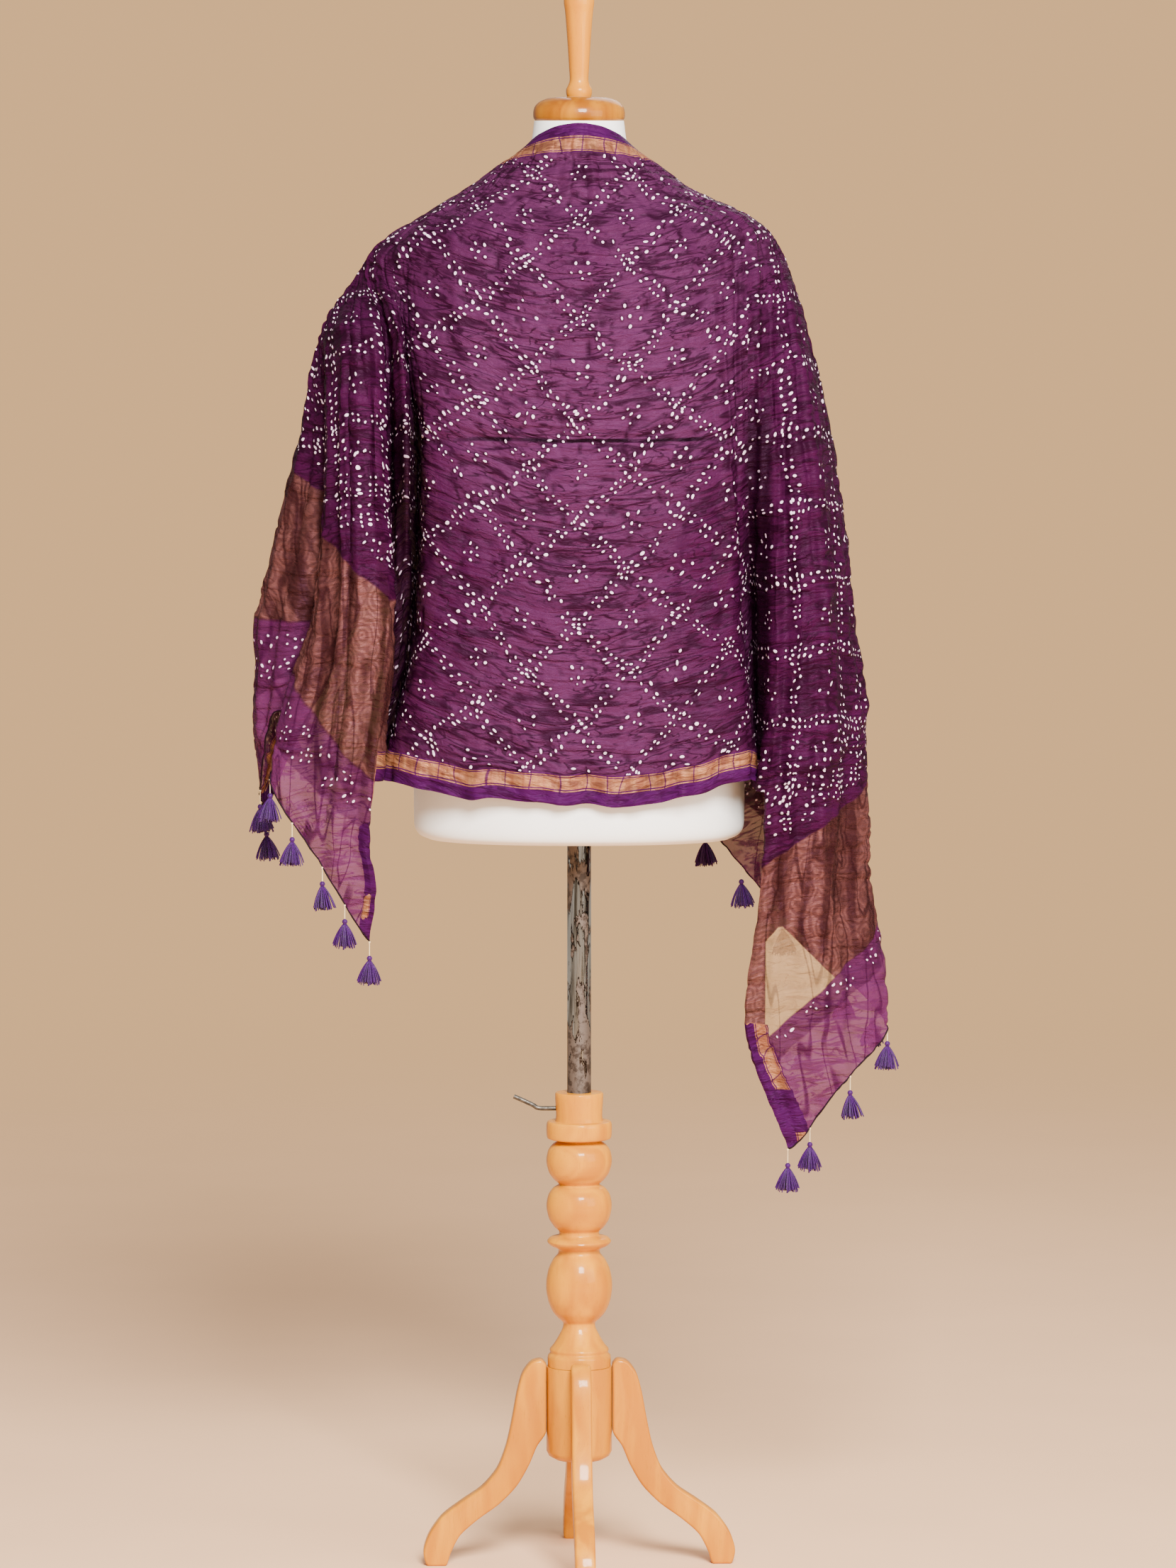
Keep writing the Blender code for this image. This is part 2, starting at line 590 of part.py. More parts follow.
def make_form(carrier):
    """The torso with its pole socket, the neck cap and the finial."""
    rings = [superoval(width, front, back, height, TORSO_SIDES, TORSO_POWER)
             for height, width, front, back in reversed(TORSO_SECTIONS)]
    for height in (FORM_BOTTOM_Z, POLE_TOP_Z + RUNNING_GAP):
        rings.append(circle(bore_radius(TORSO_SIDES), height, TORSO_SIDES))
    add_piece("torso", ring_stack(rings), "form_skin", carrier, smooth_deg=40)
    add_piece("neck_cap", ring_stack(turned(CAP_PROFILE, 24)), "turned_wood", carrier, smooth_deg=40)
    add_piece("finial", ring_stack(turned(FINIAL_PROFILE, 16)), "turned_wood", carrier, smooth_deg=40)


def make_pole(carrier):
    """The pole, which slides in the column and carries the form."""
    profile = [(POLE_RADIUS, POLE_BOTTOM_Z), (POLE_RADIUS, POLE_TOP_Z)]
    add_piece("pole", ring_stack(turned(profile)), "pole_steel", carrier, smooth_deg=40)


def rod_bmesh(points, radius, sides):
    """A round bar bent through points in the plane y = 0."""
    rings = []
    for number, point in enumerate(points):
        before = Vector(points[max(number - 1, 0)])
        after = Vector(points[min(number + 1, len(points) - 1)])
        along = (after - before).normalized()
        side = Vector((0, 1, 0))
        up = along.cross(side)
        ring = []
        for step in range(sides):
            angle = 2 * math.pi * step / sides
            ring.append(Vector(point) + (side * math.cos(angle) + up * math.sin(angle)) * radius)
        rings.append(ring)
    return ring_stack(rings)


def make_clamp(carrier):
    """The clamp screw with its bent handle, whose point bears on the pole."""
    tip = -(POLE_RADIUS + RUNNING_GAP)
    bends = [(tip, 0.0), (-40.0, 0.0), (-44.5, 0.8), (-48.0, 3.2), (-66.0, 11.5), (-68.5, 12.6)]
    points = [(x, 0.0, CLAMP_Z + rise) for x, rise in bends]
    add_piece("clamp_screw", rod_bmesh(points, CLAMP_ROD_RADIUS, 10), "pole_steel", carrier, smooth_deg=50)


def make_column(carrier):
    """The turned column, bored for the pole and cross-bored for the clamp screw."""
    bore = bore_radius(TURNED_SIDES)
    rings = turned(COLUMN_PROFILE)
    rings += [circle(bore, COLUMN_TOP_Z), circle(bore, COLUMN_BOTTOM_Z)]
    column = add_piece("column", ring_stack(rings, closed=True), "turned_wood", carrier, smooth_deg=40)
    ends = [(-8.0, 0, CLAMP_Z), (-40.0, 0, CLAMP_Z)]
    hole = rod_bmesh(ends, CLAMP_ROD_RADIUS + CLAMP_HOLE_GAP, 12)
    cutter = add_piece("clamp_hole_cutter", hole, "pole_steel", carrier)
    cutter.hide_render = True
    cutter.display_type = "WIRE"
    cut = column.modifiers.new("clamp_hole", "BOOLEAN")
    cut.operation = "DIFFERENCE"
    cut.solver = "EXACT"
    cut.object = cutter


def make_hub(carrier):
    """The round hub under the column, with a blind bore for the pole."""
    rings = turned(HUB_PROFILE)
    bore = bore_radius(TURNED_SIDES)
    rings += [circle(bore, HUB_PROFILE[-1][1]), circle(bore, HUB_BORE_FLOOR_Z)]
    add_piece("hub", ring_stack(rings), "turned_wood", carrier, smooth_deg=40)


def make_legs(carrier):
    """Four sawn legs with eased edges, set round the hub."""
    for number in range(LEG_COUNT):
        halves = (-LEG_THICK / 2, LEG_THICK / 2)
        bm = ring_stack([[(reach, side, height) for reach, height in LEG_OUTLINE] for side in halves])
        angle = math.radians(LEG_TURN_DEG + 90.0 * number)
        bmesh.ops.rotate(bm, cent=Vector(), matrix=Matrix.Rotation(angle, 3, "Z"), verts=bm.verts)
        leg = add_piece(f"leg_{number + 1}", bm, "turned_wood", carrier, smooth_deg=40)
        rounded = leg.modifiers.new("eased_edges", "BEVEL")
        rounded.width = LEG_BEVEL * MM
        rounded.segments = 1
        rounded.limit_method = "ANGLE"
        rounded.angle_limit = math.radians(60)


def main():
    clear_scene()
    stand = body_empty("stand_body")
    pole = body_empty("pole_body")
    form = body_empty("form_body")
    clamp = body_empty("clamp_body", (-25.0, 0.0, CLAMP_Z))
    make_column(stand)
    make_hub(stand)
    make_legs(stand)
    make_pole(pole)
    make_clamp(clamp)
    make_form(form)
    make_cloth(form)
    make_tassels(form)


main()
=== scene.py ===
"""A tie-dyed dupatta stole draped over a limbless dress form on a turned wooden stand.

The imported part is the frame. Each operator makes one piece, or a group of like pieces, over the frame's
solids, and main() calls them in order. Tables are in millimetres and are turned into metres where used.
"""
import math

import bmesh
import bpy
import numpy as np
from bpy.props import FloatProperty, FloatVectorProperty, IntProperty, PointerProperty
from mathutils import Matrix, Vector


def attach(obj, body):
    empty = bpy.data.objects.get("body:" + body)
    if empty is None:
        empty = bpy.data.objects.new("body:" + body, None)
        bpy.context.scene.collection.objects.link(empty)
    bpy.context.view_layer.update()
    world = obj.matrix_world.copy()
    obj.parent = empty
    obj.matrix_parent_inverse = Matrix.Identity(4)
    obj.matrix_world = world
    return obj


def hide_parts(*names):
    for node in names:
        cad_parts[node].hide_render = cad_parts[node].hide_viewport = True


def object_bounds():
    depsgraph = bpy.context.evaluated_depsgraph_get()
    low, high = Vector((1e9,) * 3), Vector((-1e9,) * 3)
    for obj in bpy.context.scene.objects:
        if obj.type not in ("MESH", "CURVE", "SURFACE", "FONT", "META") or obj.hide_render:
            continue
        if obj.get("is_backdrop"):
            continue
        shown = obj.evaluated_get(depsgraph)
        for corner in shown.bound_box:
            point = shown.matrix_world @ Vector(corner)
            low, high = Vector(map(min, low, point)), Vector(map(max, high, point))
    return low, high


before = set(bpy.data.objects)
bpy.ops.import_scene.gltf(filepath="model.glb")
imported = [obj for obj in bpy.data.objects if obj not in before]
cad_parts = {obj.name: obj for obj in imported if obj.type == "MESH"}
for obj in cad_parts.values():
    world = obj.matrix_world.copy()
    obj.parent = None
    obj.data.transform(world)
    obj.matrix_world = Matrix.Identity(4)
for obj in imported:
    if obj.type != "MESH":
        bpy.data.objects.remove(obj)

CAD_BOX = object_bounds()

bl_info = {
    "name": "Dupatta Stole on a Dress Form",
    "version": (1, 0, 0),
    "blender": (4, 5, 0),
    "location": "3D View > Sidebar > Stole",
    "description": "Drapes a resist-dyed stole over a dress form and its turned stand",
    "category": "Object",
}

MM = 0.001

# Cloth
FOLD_ROUNDNESS = 0.8
NECKLINE_POWER = 1.4
FINE_ROWS = 12
COLUMN_STEP = 3.2
BUST_LEVEL = 4.5
HEM_ROW = 17
# Form and stand
TORSO_SIDES = 112
TORSO_POWER = 2.3
FORM_BOTTOM_Z = 770.0
POLE_RADIUS = 12.5
POLE_BOTTOM_Z = 311.0
POLE_TOP_Z = 820.0
RUNNING_GAP = 0.3
BORE_RADIUS = POLE_RADIUS + RUNNING_GAP
TURNED_SIDES = 72
COLUMN_BOTTOM_Z = 211.0
COLUMN_TOP_Z = 501.0
HUB_BORE_FLOOR_Z = 134.0
LEG_THICK = 21.0
LEG_TURN_DEG = 2.5
CLAMP_Z = 484.0
CLAMP_ROD_RADIUS = 2.4
CLAMP_HOLE_GAP = 0.4

# Form sections: height, half width, depth in front, depth behind.
TORSO_SECTIONS = [
    (770, 158, 98, 96), (775, 168, 107, 104), (786, 172.5, 111, 108), (830, 173, 113, 110),
    (900, 170, 112, 108), (980, 156, 104, 97), (1060, 142, 96, 85), (1130, 147, 107, 86),
    (1200, 158, 118, 92), (1270, 166, 113, 94), (1330, 171, 99, 88), (1370, 172, 87, 80),
    (1392, 168, 79, 74), (1408, 157, 73, 69), (1424, 134, 67, 64), (1440, 107, 61, 59), (1456, 81, 55, 54),
    (1474, 60, 50, 50), (1495, 49.5, 47, 47), (1517, 46.5, 46.5, 46.5),
]

# The cloth hangs in ten levels: 0 neckline, 1 slope, 2 shoulder, 3 chest, 4 bust, 5 waist, 6 hem,
# 7 and 8 down the falls, 9 end edge. The three upper levels are ovals round the neck and shoulders:
# half width right, half width left, depth in front, depth behind, height in front, side right,
# side left, behind.
UPPER_OVALS = [
    (57, 57, 60, 61, 1515, 1486, 1486, 1479), (113, 112, 78, 68, 1452, 1448, 1448, 1434),
    (201, 226, 103, 92, 1396, 1396, 1362, 1370),
]

# One row for each fold line of the cloth, from the left back edge round the front to the right one.
# Columns: name, angle on the upper ovals from the front centre, then x, y, z at levels 3 to 9.
FOLD_LINES = [
    ("left_edge", -140, [(-165, 82, 1270), (-186, 84, 1150), (-232, 72, 1000), (-290, 50, 880),
                         (-306, 40, 848), (-318, 30, 818), (-328, 22, 789)]),
    ("left_back", -117, [(-214, 58, 1275), (-246, 54, 1155), (-286, 46, 1000), (-320, 34, 880),
                         (-327, 28, 856), (-330, 22, 832), (-333, 16, 810)]),
    ("left_outer", -101, [(-269, 4, 1282), (-298, 0, 1160), (-333, -2, 1000), (-340, -4, 905),
                          (-338, -5, 870), (-335, -6, 850), (-332, -6, 826)]),
    ("left_under", -97, [(-268, -12, 1284), (-280, -30, 1160), (-304, -38, 1010), (-318, -36, 940),
                         (-318, -35, 924), (-317, -34, 914), (-316, -33, 904)]),
    ("left_tuck", -94, [(-265, -20, 1286), (-244, -40, 1160), (-252, -46, 1020), (-282, -46, 950),
                        (-286, -45, 930), (-289, -44, 914), (-291, -43, 900)]),
    ("left_corner", -91, [(-262, -36, 1288), (-263, -66, 1160), (-276, -74, 1000), (-312, -78, 884),
                          (-316, -77, 866), (-318, -76, 852), (-319, -75, 838)]),
    ("left_front", -86, [(-238, -80, 1290), (-238, -98, 1160), (-238, -104, 1000), (-256, -98, 846),
                         (-262, -93, 802), (-262, -89, 772), (-265, -84, 748)]),
    ("left_fold", -79, [(-209, -90, 1290), (-206, -104, 1160), (-195, -108, 1000), (-214, -102, 838),
                        (-217, -94, 768), (-212, -88, 722), (-219, -80, 670)]),
    ("left_gap", -71, [(-197, -72, 1290), (-194, -66, 1160), (-194, -74, 1000), (-208, -46, 838)]),
    ("left_ridge", -66, [(-184, -103, 1290), (-177, -106, 1168), (-179, -54, 1000), (-204, -24, 836)]),
    ("left_valley", -58, [(-180, -70, 1290), (-167, -36, 1160), (-172, -24, 1000), (-197, -10, 834)]),
    ("panel_left", -46, [(-166, -92, 1290), (-154, -104, 1160), (-159, -106, 1000), (-196, -88, 838)]),
    ("panel_mid_left", -24, [(-94, -112, 1290), (-90, -117, 1160), (-92, -118, 1000), (-104, -120, 821)]),
    ("panel_centre", 0, [(0, -119, 1290), (0, -123, 1160), (-2, -123, 1000), (0, -125, 815)]),
    ("panel_mid_right", 24, [(92, -112, 1290), (92, -117, 1160), (92, -117, 1000), (98, -119, 820)]),
    ("panel_right", 46, [(150, -95, 1290), (154, -104, 1160), (158, -105, 1000), (175, -94, 838)]),
    ("right_valley", 58, [(173, -90, 1290), (174, -84, 1160), (179, -34, 1000), (186, -16, 826)]),
    ("right_fold", 69, [(196, -76, 1290), (202, -92, 1160), (202, -96, 1000), (195, -92, 826),
                        (188, -80, 720), (173, -66, 588), (218, -52, 449)]),
    ("right_front", 81, [(222, -62, 1290), (238, -86, 1160), (250, -88, 1000), (250, -84, 826),
                         (248, -76, 726), (252, -64, 606), (270, -46, 511)]),
    ("right_outer", 93, [(240, -8, 1285), (266, -14, 1160), (285, -16, 1000), (299, -16, 826),
                         (301, -16, 726), (317, -18, 634), (321, -22, 573)]),
    ("right_back", 115, [(212, 52, 1280), (232, 52, 1160), (240, 46, 1000), (244, 38, 838), (244, 32, 760),
                         (246, 26, 700), (250, 18, 648)]),
    ("right_edge", 140, [(156, 86, 1270), (160, 92, 1150), (154, 96, 1000), (146, 104, 880),
                         (140, 112, 838), (136, 116, 804), (132, 120, 773)]),
]
LINE_NUMBER = {row[0]: number for number, row in enumerate(FOLD_LINES)}
LAST_LINE = len(FOLD_LINES) - 1
LAST_LEVEL = 9

# Folds that run down the cloth: line number at the top and at the bottom, top and bottom level,
# half width in lines, depth in millimetres, proud of the cloth where positive.
LONG_FOLDS = [
    (12.2, 12, 1.2, 4.4, 0.2, -3), (13.7, 14.2, 1, 3.4, 0.22, -3.2), (14.6, 14.9, 1.5, 5.6, 0.18, -3),
    (17.3, 17.25, 3.6, 8.8, 0.12, -5), (17.62, 17.55, 4.6, 9, 0.12, -5.5), (18.1, 18, 3, 8.6, 0.14, 4.5),
    (18.5, 18.4, 4.2, 9, 0.14, -5.5), (19.4, 19.45, 3.4, 8.6, 0.18, -5), (20.1, 20.05, 3, 8.2, 0.18, 4.5),
    (20.6, 20.55, 3.6, 8.8, 0.16, -5), (6.7, 6.6, 3.2, 8, 0.14, -5.5), (6.3, 6.2, 4, 8.6, 0.14, 4.5),
    (5.6, 5.6, 3.6, 7.6, 0.16, -5), (3, 2.6, 3.6, 8, 0.2, -4.5), (1.45, 1.4, 3, 8, 0.18, -4.5),
    (0.6, 0.6, 3.4, 8.4, 0.16, 4.5),
]
# Creases across the cloth: level, first and last line number, half width in levels, depth.
CROSS_CREASES = [
    (3.78, 11.1, 15.1, 0.05, -3.2), (0.62, 10.6, 16.2, 0.12, -2.6), (1.36, 9.6, 17, 0.14, -2.4),
]

# Rows of the cloth's grid that lie at given levels, by line: the rows between them are evenly spaced.
# Row 17 is the hem of the front, and rows 13 and 17 on the left, 19 and 23 on the right are the two
# ends of the pallu.
LEFT_ROWS = [0, 8, 10, 13, 17, 21]
LEFT_LEVELS = {
    "left_edge": [0, 3.1, 3.6, 4.93, 6.1, 9],
    "left_outer": [0, 2.7, 3.1, 4, 4.97, 9],
    "left_corner": [0, 2.9, 3.4, 4.38, 5.4, 9],
    "left_fold": [0, 3.2, 3.7, 4.85, 6, 9],
    "left_valley": [0, 3.66, 3.9, 4.85, 6, 9],
}
RIGHT_ROWS = [0, 8, 10, 13, 17, 19, 23, 26]
RIGHT_LEVELS = {
    "right_valley": [0, 3.66, 3.9, 4.85, 6, 6.7, 8.2, 9],
    "right_fold": [0, 3.5, 3.9, 4.85, 6, 6.77, 8.3, 9],
    "right_outer": [0, 3.3, 3.75, 4.5, 5.5, 5.93, 7.5, 9],
    "right_edge": [0, 3, 3.4, 4, 4.7, 4.95, 6.3, 9],
}

# Deep tucks beside the panel, by line number, and the heights where they close at the top.
# The cloth in the tucks is painted darker, as shade.
TUCKS = [((7.15, 7.8), (9.9, 10.5)), ((15.6, 16.1), (16.7, 17.0))]
TUCK_TOP = (1180, 1260)
# The falls' own woven edges: fold line, side of it, heights where the edge starts, and its stretch.
FALL_EDGES = [("left_fold", -1, (805, 790), 1.7), ("right_fold", 1, (585, 582), 1.0)]
FAR = 99.0
# Heights between which metal thread shows on the edges of the falls.
RIGHT_GILT = ((508, 516), (585, 590))
TIP_GILT = (462, 468)
LEFT_GILT = ((692, 696), (716, 720))

# Stretches of the stole: first and last line, last row, the line its pattern is laid out from, how far the
# pattern is turned in degrees, the rows where the pallu starts and ends and the cloth ends, the line of its
# free edge, and the two lines between which it has a hem.
STRETCHES = {
    "stole_front": (10, 16, HEM_ROW, 13, 45.0, (40, 44, 48), None, (9, 17)),
    "stole_left": (0, 10, LEFT_ROWS[-1], 6, 4.0, (13, 17, 21), 0, (7, 10)),
    "stole_right": (16, 21, RIGHT_ROWS[-1], 18, -3.0, (19, 23, 26), 21, (16, 17)),
}
# The stretch of each end edge that is rolled, by line number.
ROLLED = {"left": (0, 7), "right": (17, 21)}
ROLL_RADIUS = 0.85

# Tassels: profiles of the cord with its knot and of the bound head by radius and drop, and the skirt's sizes.
CORD_PROFILE = [(0.3, -0.9), (1.1, -0.3), (1.3, 0.5), (0.9, 1.4), (0.55, 2.0), (0.5, 9.0), (0.55, 15.6)]
HEAD_PROFILE = [
    (0.5, 14.4), (1.7, 14.9), (2.7, 16.2), (2.9, 17.8), (2.3, 19.0), (1.9, 19.5), (2.25, 19.9), (1.9, 20.3),
    (2.25, 20.7), (2.0, 21.1), (2.6, 22.4), (2.2, 23.4),
]
SKIRT_DROP = 20.6
SKIRT_LENGTH = 23.0
SKIRT_NECK_RADIUS = 2.0
STRAND_RADIUS = 0.72
SKIRT_SEED = 7
# Tassels along the end edges, by line number.
TASSEL_PLACES = {
    "left": [7, 6.5, 6, 5.5, 5, 3.67, 1.67, 0],
    "right": [17, 17.5, 18.25, 19, 19.33, 19.67, 20.33, 20.67, 21],
}

# Turned profiles from the bottom up: radius and height.
COLUMN_PROFILE = [
    (33, 211), (33, 222), (30.5, 225.5), (31, 229), (27, 234), (21.5, 243), (17.2, 252), (16.9, 257),
    (21.5, 261.5), (27.5, 268.5), (32.2, 279), (34.6, 292), (34.4, 303), (31.8, 315), (27.2, 324.5),
    (22, 331), (22, 335), (30.5, 339.5), (33.6, 343.5), (30.5, 347.5), (21.4, 350.5), (21.4, 354.5),
    (25.8, 358.5), (31.2, 366.5), (34, 377), (34.2, 384), (32, 393.5), (27.2, 400), (21.3, 404),
    (26, 408.5), (31.2, 415.5), (34.1, 425), (34.3, 431.5), (32.4, 440), (28, 446), (22.8, 449.8),
    (33, 452.5), (34, 455), (34, 468.5), (32.6, 470.5), (25.2, 471), (25.2, 499.5), (24.2, 501),
]
HUB_PROFILE = [
    (25, 112), (32, 116), (34.5, 121), (34.5, 210.7),
]
CAP_PROFILE = [
    (45.5, 1517.3), (47.3, 1519.5), (47.6, 1526), (45.8, 1532), (40.5, 1537), (31, 1540.5), (19, 1541.5),
]
FINIAL_PROFILE = [
    (12.5, 1541.8), (13.4, 1545), (13.4, 1549.5), (11.2, 1554), (9.8, 1558.5), (10.4, 1572), (12.2, 1600),
    (14.6, 1630), (15.8, 1638), (15.6, 1644), (12.6, 1650.5), (7, 1654),
]

# The clamp screw from its tip outwards: reach and rise.
CLAMP_BENDS = [
    (-BORE_RADIUS, 0.0), (-25.0, 0.0), (-40.0, 0.0), (-44.5, 0.8), (-48.0, 3.2), (-66.0, 11.5), (-68.5, 12.6),
]

# One leg seen from the side: reach from the pole's axis and height, round the outline.
LEG_OUTLINE = [
    (34.9, 142), (34.9, 213), (40, 218.5), (50, 216.5), (59.5, 205), (65.5, 185), (70.5, 158), (77, 128),
    (87, 102), (103, 83), (124, 68.5), (145, 52.5), (159, 33), (164.5, 14), (160, 0), (141, 0), (136, 13),
    (126, 32), (107, 49), (85, 65), (66, 84.5), (53, 107), (44.5, 127),
]

# Soft creases laid over the folds: line at the top and bottom, first and last row, half width in
# lines, height in millimetres.
SOFT_CREASES = [
    (11.3, 11.9, 2, 9, 0.1, 2.6), (11.8, 11.35, 8.5, 16, 0.12, -1.8), (12.4, 12.75, 1, 6.5, 0.12, -2),
    (12.9, 12.45, 9, 17.5, 0.16, 2.2), (13.35, 13.15, 0.5, 7.5, 0.1, 2.4),
    (13.6, 13.75, 9.6, 17.5, 0.13, -1.6), (14.1, 14.45, 1.5, 8, 0.12, -2.2),
    (14.35, 14.15, 10.5, 17.5, 0.15, 2), (14.8, 15.2, 3, 12, 0.09, 2.6), (15.55, 15.45, 2, 15, 0.1, -3),
    (16.45, 16.55, 3, 17, 0.12, 3), (17.12, 17.1, 6, 25, 0.05, 2.6), (17.45, 17.42, 9, 26, 0.06, 3.4),
    (17.85, 17.9, 5, 26, 0.07, -2.8), (18.3, 18.22, 7, 26, 0.06, 3), (18.75, 18.8, 3, 18, 0.08, -2.6),
    (19.15, 19.05, 8, 26, 0.07, 3.2), (19.7, 19.75, 5, 24, 0.08, 3.4), (20.4, 20.3, 4, 25, 0.08, -3),
    (20.85, 20.8, 8, 26, 0.05, 2.6), (7.35, 7.3, 4, 17, 0.1, 2.8), (7.75, 7.8, 7, 17, 0.09, -3.2),
    (8.55, 8.45, 5, 16, 0.11, 2.6), (9.3, 9.4, 3, 15, 0.1, -2.4), (6.9, 6.88, 8, 21, 0.05, 2.4),
    (6.5, 6.42, 6, 21, 0.06, -3), (6.05, 6.02, 5, 20, 0.06, -2.6), (5.8, 5.82, 8, 21, 0.06, 3.2),
    (5.3, 5.32, 6, 21, 0.07, 2.8), (4.4, 4.5, 6, 20, 0.1, -2.4), (2.5, 2.45, 5, 21, 0.1, 3),
    (1.8, 1.75, 4, 20, 0.08, 3), (1.15, 1.2, 6, 21, 0.07, -2.8), (0.35, 0.3, 5, 21, 0.06, -2.6),
]
# Creases across the cloth: row, first and last line, half width in rows, height, and how far the crease
# drops from its first line to its last, in rows.
CROSS_FOLDS = [
    (9.1, 11.4, 13.6, 0.16, 1.6, 0.5), (9.9, 12.6, 15.2, 0.14, -1.4, -0.3),
    (11.3, 11, 13.2, 0.18, 1.5, -0.6), (12.2, 13.4, 15.4, 0.16, -1.3, 0.5),
    (13.6, 11.2, 14.4, 0.17, 1.5, 0.3), (14.9, 12.8, 15.4, 0.15, 1.4, -0.4),
    (15.7, 10.8, 13, 0.14, -1.2, 0.2), (5.6, 11.2, 13.4, 0.2, 1.6, 0.9), (6.5, 13.6, 16, 0.2, 1.6, -0.9),
    (4, 12, 15, 0.2, -1.5, 0.4), (7.3, 17.1, 19, 0.2, 2.2, 0.9), (10.8, 17.2, 18.6, 0.18, -2, 0.7),
    (13.9, 17.6, 19.4, 0.2, 2.2, -0.8), (16.6, 17.1, 18.8, 0.18, 2, 0.8), (9.4, 19.2, 20.8, 0.2, -2, -0.6),
    (14.6, 19.4, 20.8, 0.22, 2.2, 0.7), (7.9, 5.2, 6.8, 0.2, 2.2, -0.9), (10.6, 5.4, 6.9, 0.18, 2, -0.7),
    (9.2, 2.2, 3.4, 0.2, -2, 0.6), (8.8, 0.4, 1.8, 0.2, 2.2, 0.7), (12, 0.5, 1.9, 0.22, -2, -0.6),
]


class Value:
    """A node's output. Sums and mixes written with it add the nodes that work them out."""

    def __init__(self, tree, socket):
        self.tree, self.socket = tree, socket

    def maths(self, operation, second=0.0, third=0.0):
        """One Math node."""
        return add(self.tree, "ShaderNodeMath", {0: self, 1: second, 2: third}, operation=operation)

    def vector(self, operation, second):
        """One Vector Math node."""
        return add(self.tree, "ShaderNodeVectorMath", {0: self, 1: second}, operation=operation)

    def __add__(self, other):
        return self.maths("ADD", other)

    def __sub__(self, other):
        return self.maths("SUBTRACT", other)

    def __rsub__(self, other):
        return add(self.tree, "ShaderNodeMath", {0: other, 1: self}, operation="SUBTRACT")

    def __mul__(self, other):
        return self.maths("MULTIPLY", other)

    def __truediv__(self, other):
        return self.maths("DIVIDE", other)

    def __abs__(self):
        return self.maths("ABSOLUTE")

    def __round__(self):
        return self.maths("ROUND")

    def max(self, other):
        return self.maths("MAXIMUM", other)

    def min(self, other):
        return self.maths("MINIMUM", other)

    def part(self, number):
        """The vector's part along one axis."""
        return add(self.tree, "ShaderNodeSeparateXYZ", {0: self}, number)

    def length(self):
        """The vector's length."""
        return add(self.tree, "ShaderNodeVectorMath", {0: self}, 1, operation="LENGTH")

    def ease(self, low, high, start=0.0, stop=1.0):
        """Goes smoothly from start to stop as the value goes from low to high."""
        inputs = {"Value": self, "From Min": low, "From Max": high, "To Min": start, "To Max": stop}
        return add(self.tree, "ShaderNodeMapRange", inputs, interpolation_type="SMOOTHSTEP")

    def blend(self, first, second):
        """Mixes two colours, with the value as the second one's share."""
        node = self.tree.nodes.new("ShaderNodeMix")
        node.data_type = "RGBA"
        feed(self.tree, node.inputs["Factor"], self)
        for number, colour in ((6, first), (7, second)):
            feed(self.tree, node.inputs[number], colour if isinstance(colour, Value) else (*colour[:3], 1.0))
        return Value(self.tree, node.outputs[2])

    def noise(self, scale, detail=2.0, roughness=0.5, distortion=0.0):
        """Soft noise over the vector, in one scale or a scale for each axis."""
        if isinstance(scale, tuple):
            return add(self.tree, "ShaderNodeMapping", {"Vector": self, "Scale": scale}).noise(
                1.0, detail, roughness, distortion)
        inputs = {"Vector": self, "Scale": scale, "Detail": detail, "Roughness": roughness,
                  "Distortion": distortion}
        return add(self.tree, "ShaderNodeTexNoise", inputs)

    def bump(self, distance, strength=1.0, normal=None):
        """A bump from the value as its height, over an earlier bump where one is given."""
        inputs = {"Height": self, "Distance": distance, "Strength": strength}
        if normal:
            inputs["Normal"] = normal
        return add(self.tree, "ShaderNodeBump", inputs)


class Shader:
    """A shader whose inputs are set by name."""

    def __init__(self, tree):
        self.tree, self.inputs = tree, tree.nodes["Principled BSDF"].inputs

    def __setitem__(self, name, value):
        feed(self.tree, self.inputs[name], value)


def new_shader(name):
    """A named node material, its tree and its shader."""
    made = bpy.data.materials.new(name)
    made.use_nodes = True
    return made, made.node_tree, Shader(made.node_tree)


def feed(tree, socket, value):
    """Sets a socket to a value, or links another node's output to it."""
    if isinstance(value, Value):
        tree.links.new(value.socket, socket)
    else:
        socket.default_value = value


def add(tree, kind, inputs=None, output=0, **settings):
    """Adds a node with its settings and inputs and gives one of its outputs."""
    node = tree.nodes.new(kind)
    for key, value in settings.items():
        setattr(node, key, value)
    for key, value in (inputs or {}).items():
        feed(tree, node.inputs[key], value)
    return Value(tree, node.outputs[output])


def on_object(tree):
    """The place on the object."""
    return add(tree, "ShaderNodeTexCoord", output=3)


def stored(tree, name):
    """A number stored on the mesh."""
    return add(tree, "ShaderNodeAttribute", attribute_name=name, output=2)


def dimmed(colour, share):
    """A darker colour."""
    return [part * share for part in colour]


def monotone_slopes(values):
    """Slopes of a smooth curve through evenly spaced values, with no overshoot."""
    steps = np.diff(values, axis=0)
    slopes = np.zeros_like(values)
    before, after = steps[:-1], steps[1:]
    same = before * after > 0
    total = np.where(same, before + after, 1.0)
    slopes[1:-1] = np.where(same, 2 * before * after / total, 0.0)
    slopes[0], slopes[-1] = steps[0], steps[-1]
    return slopes


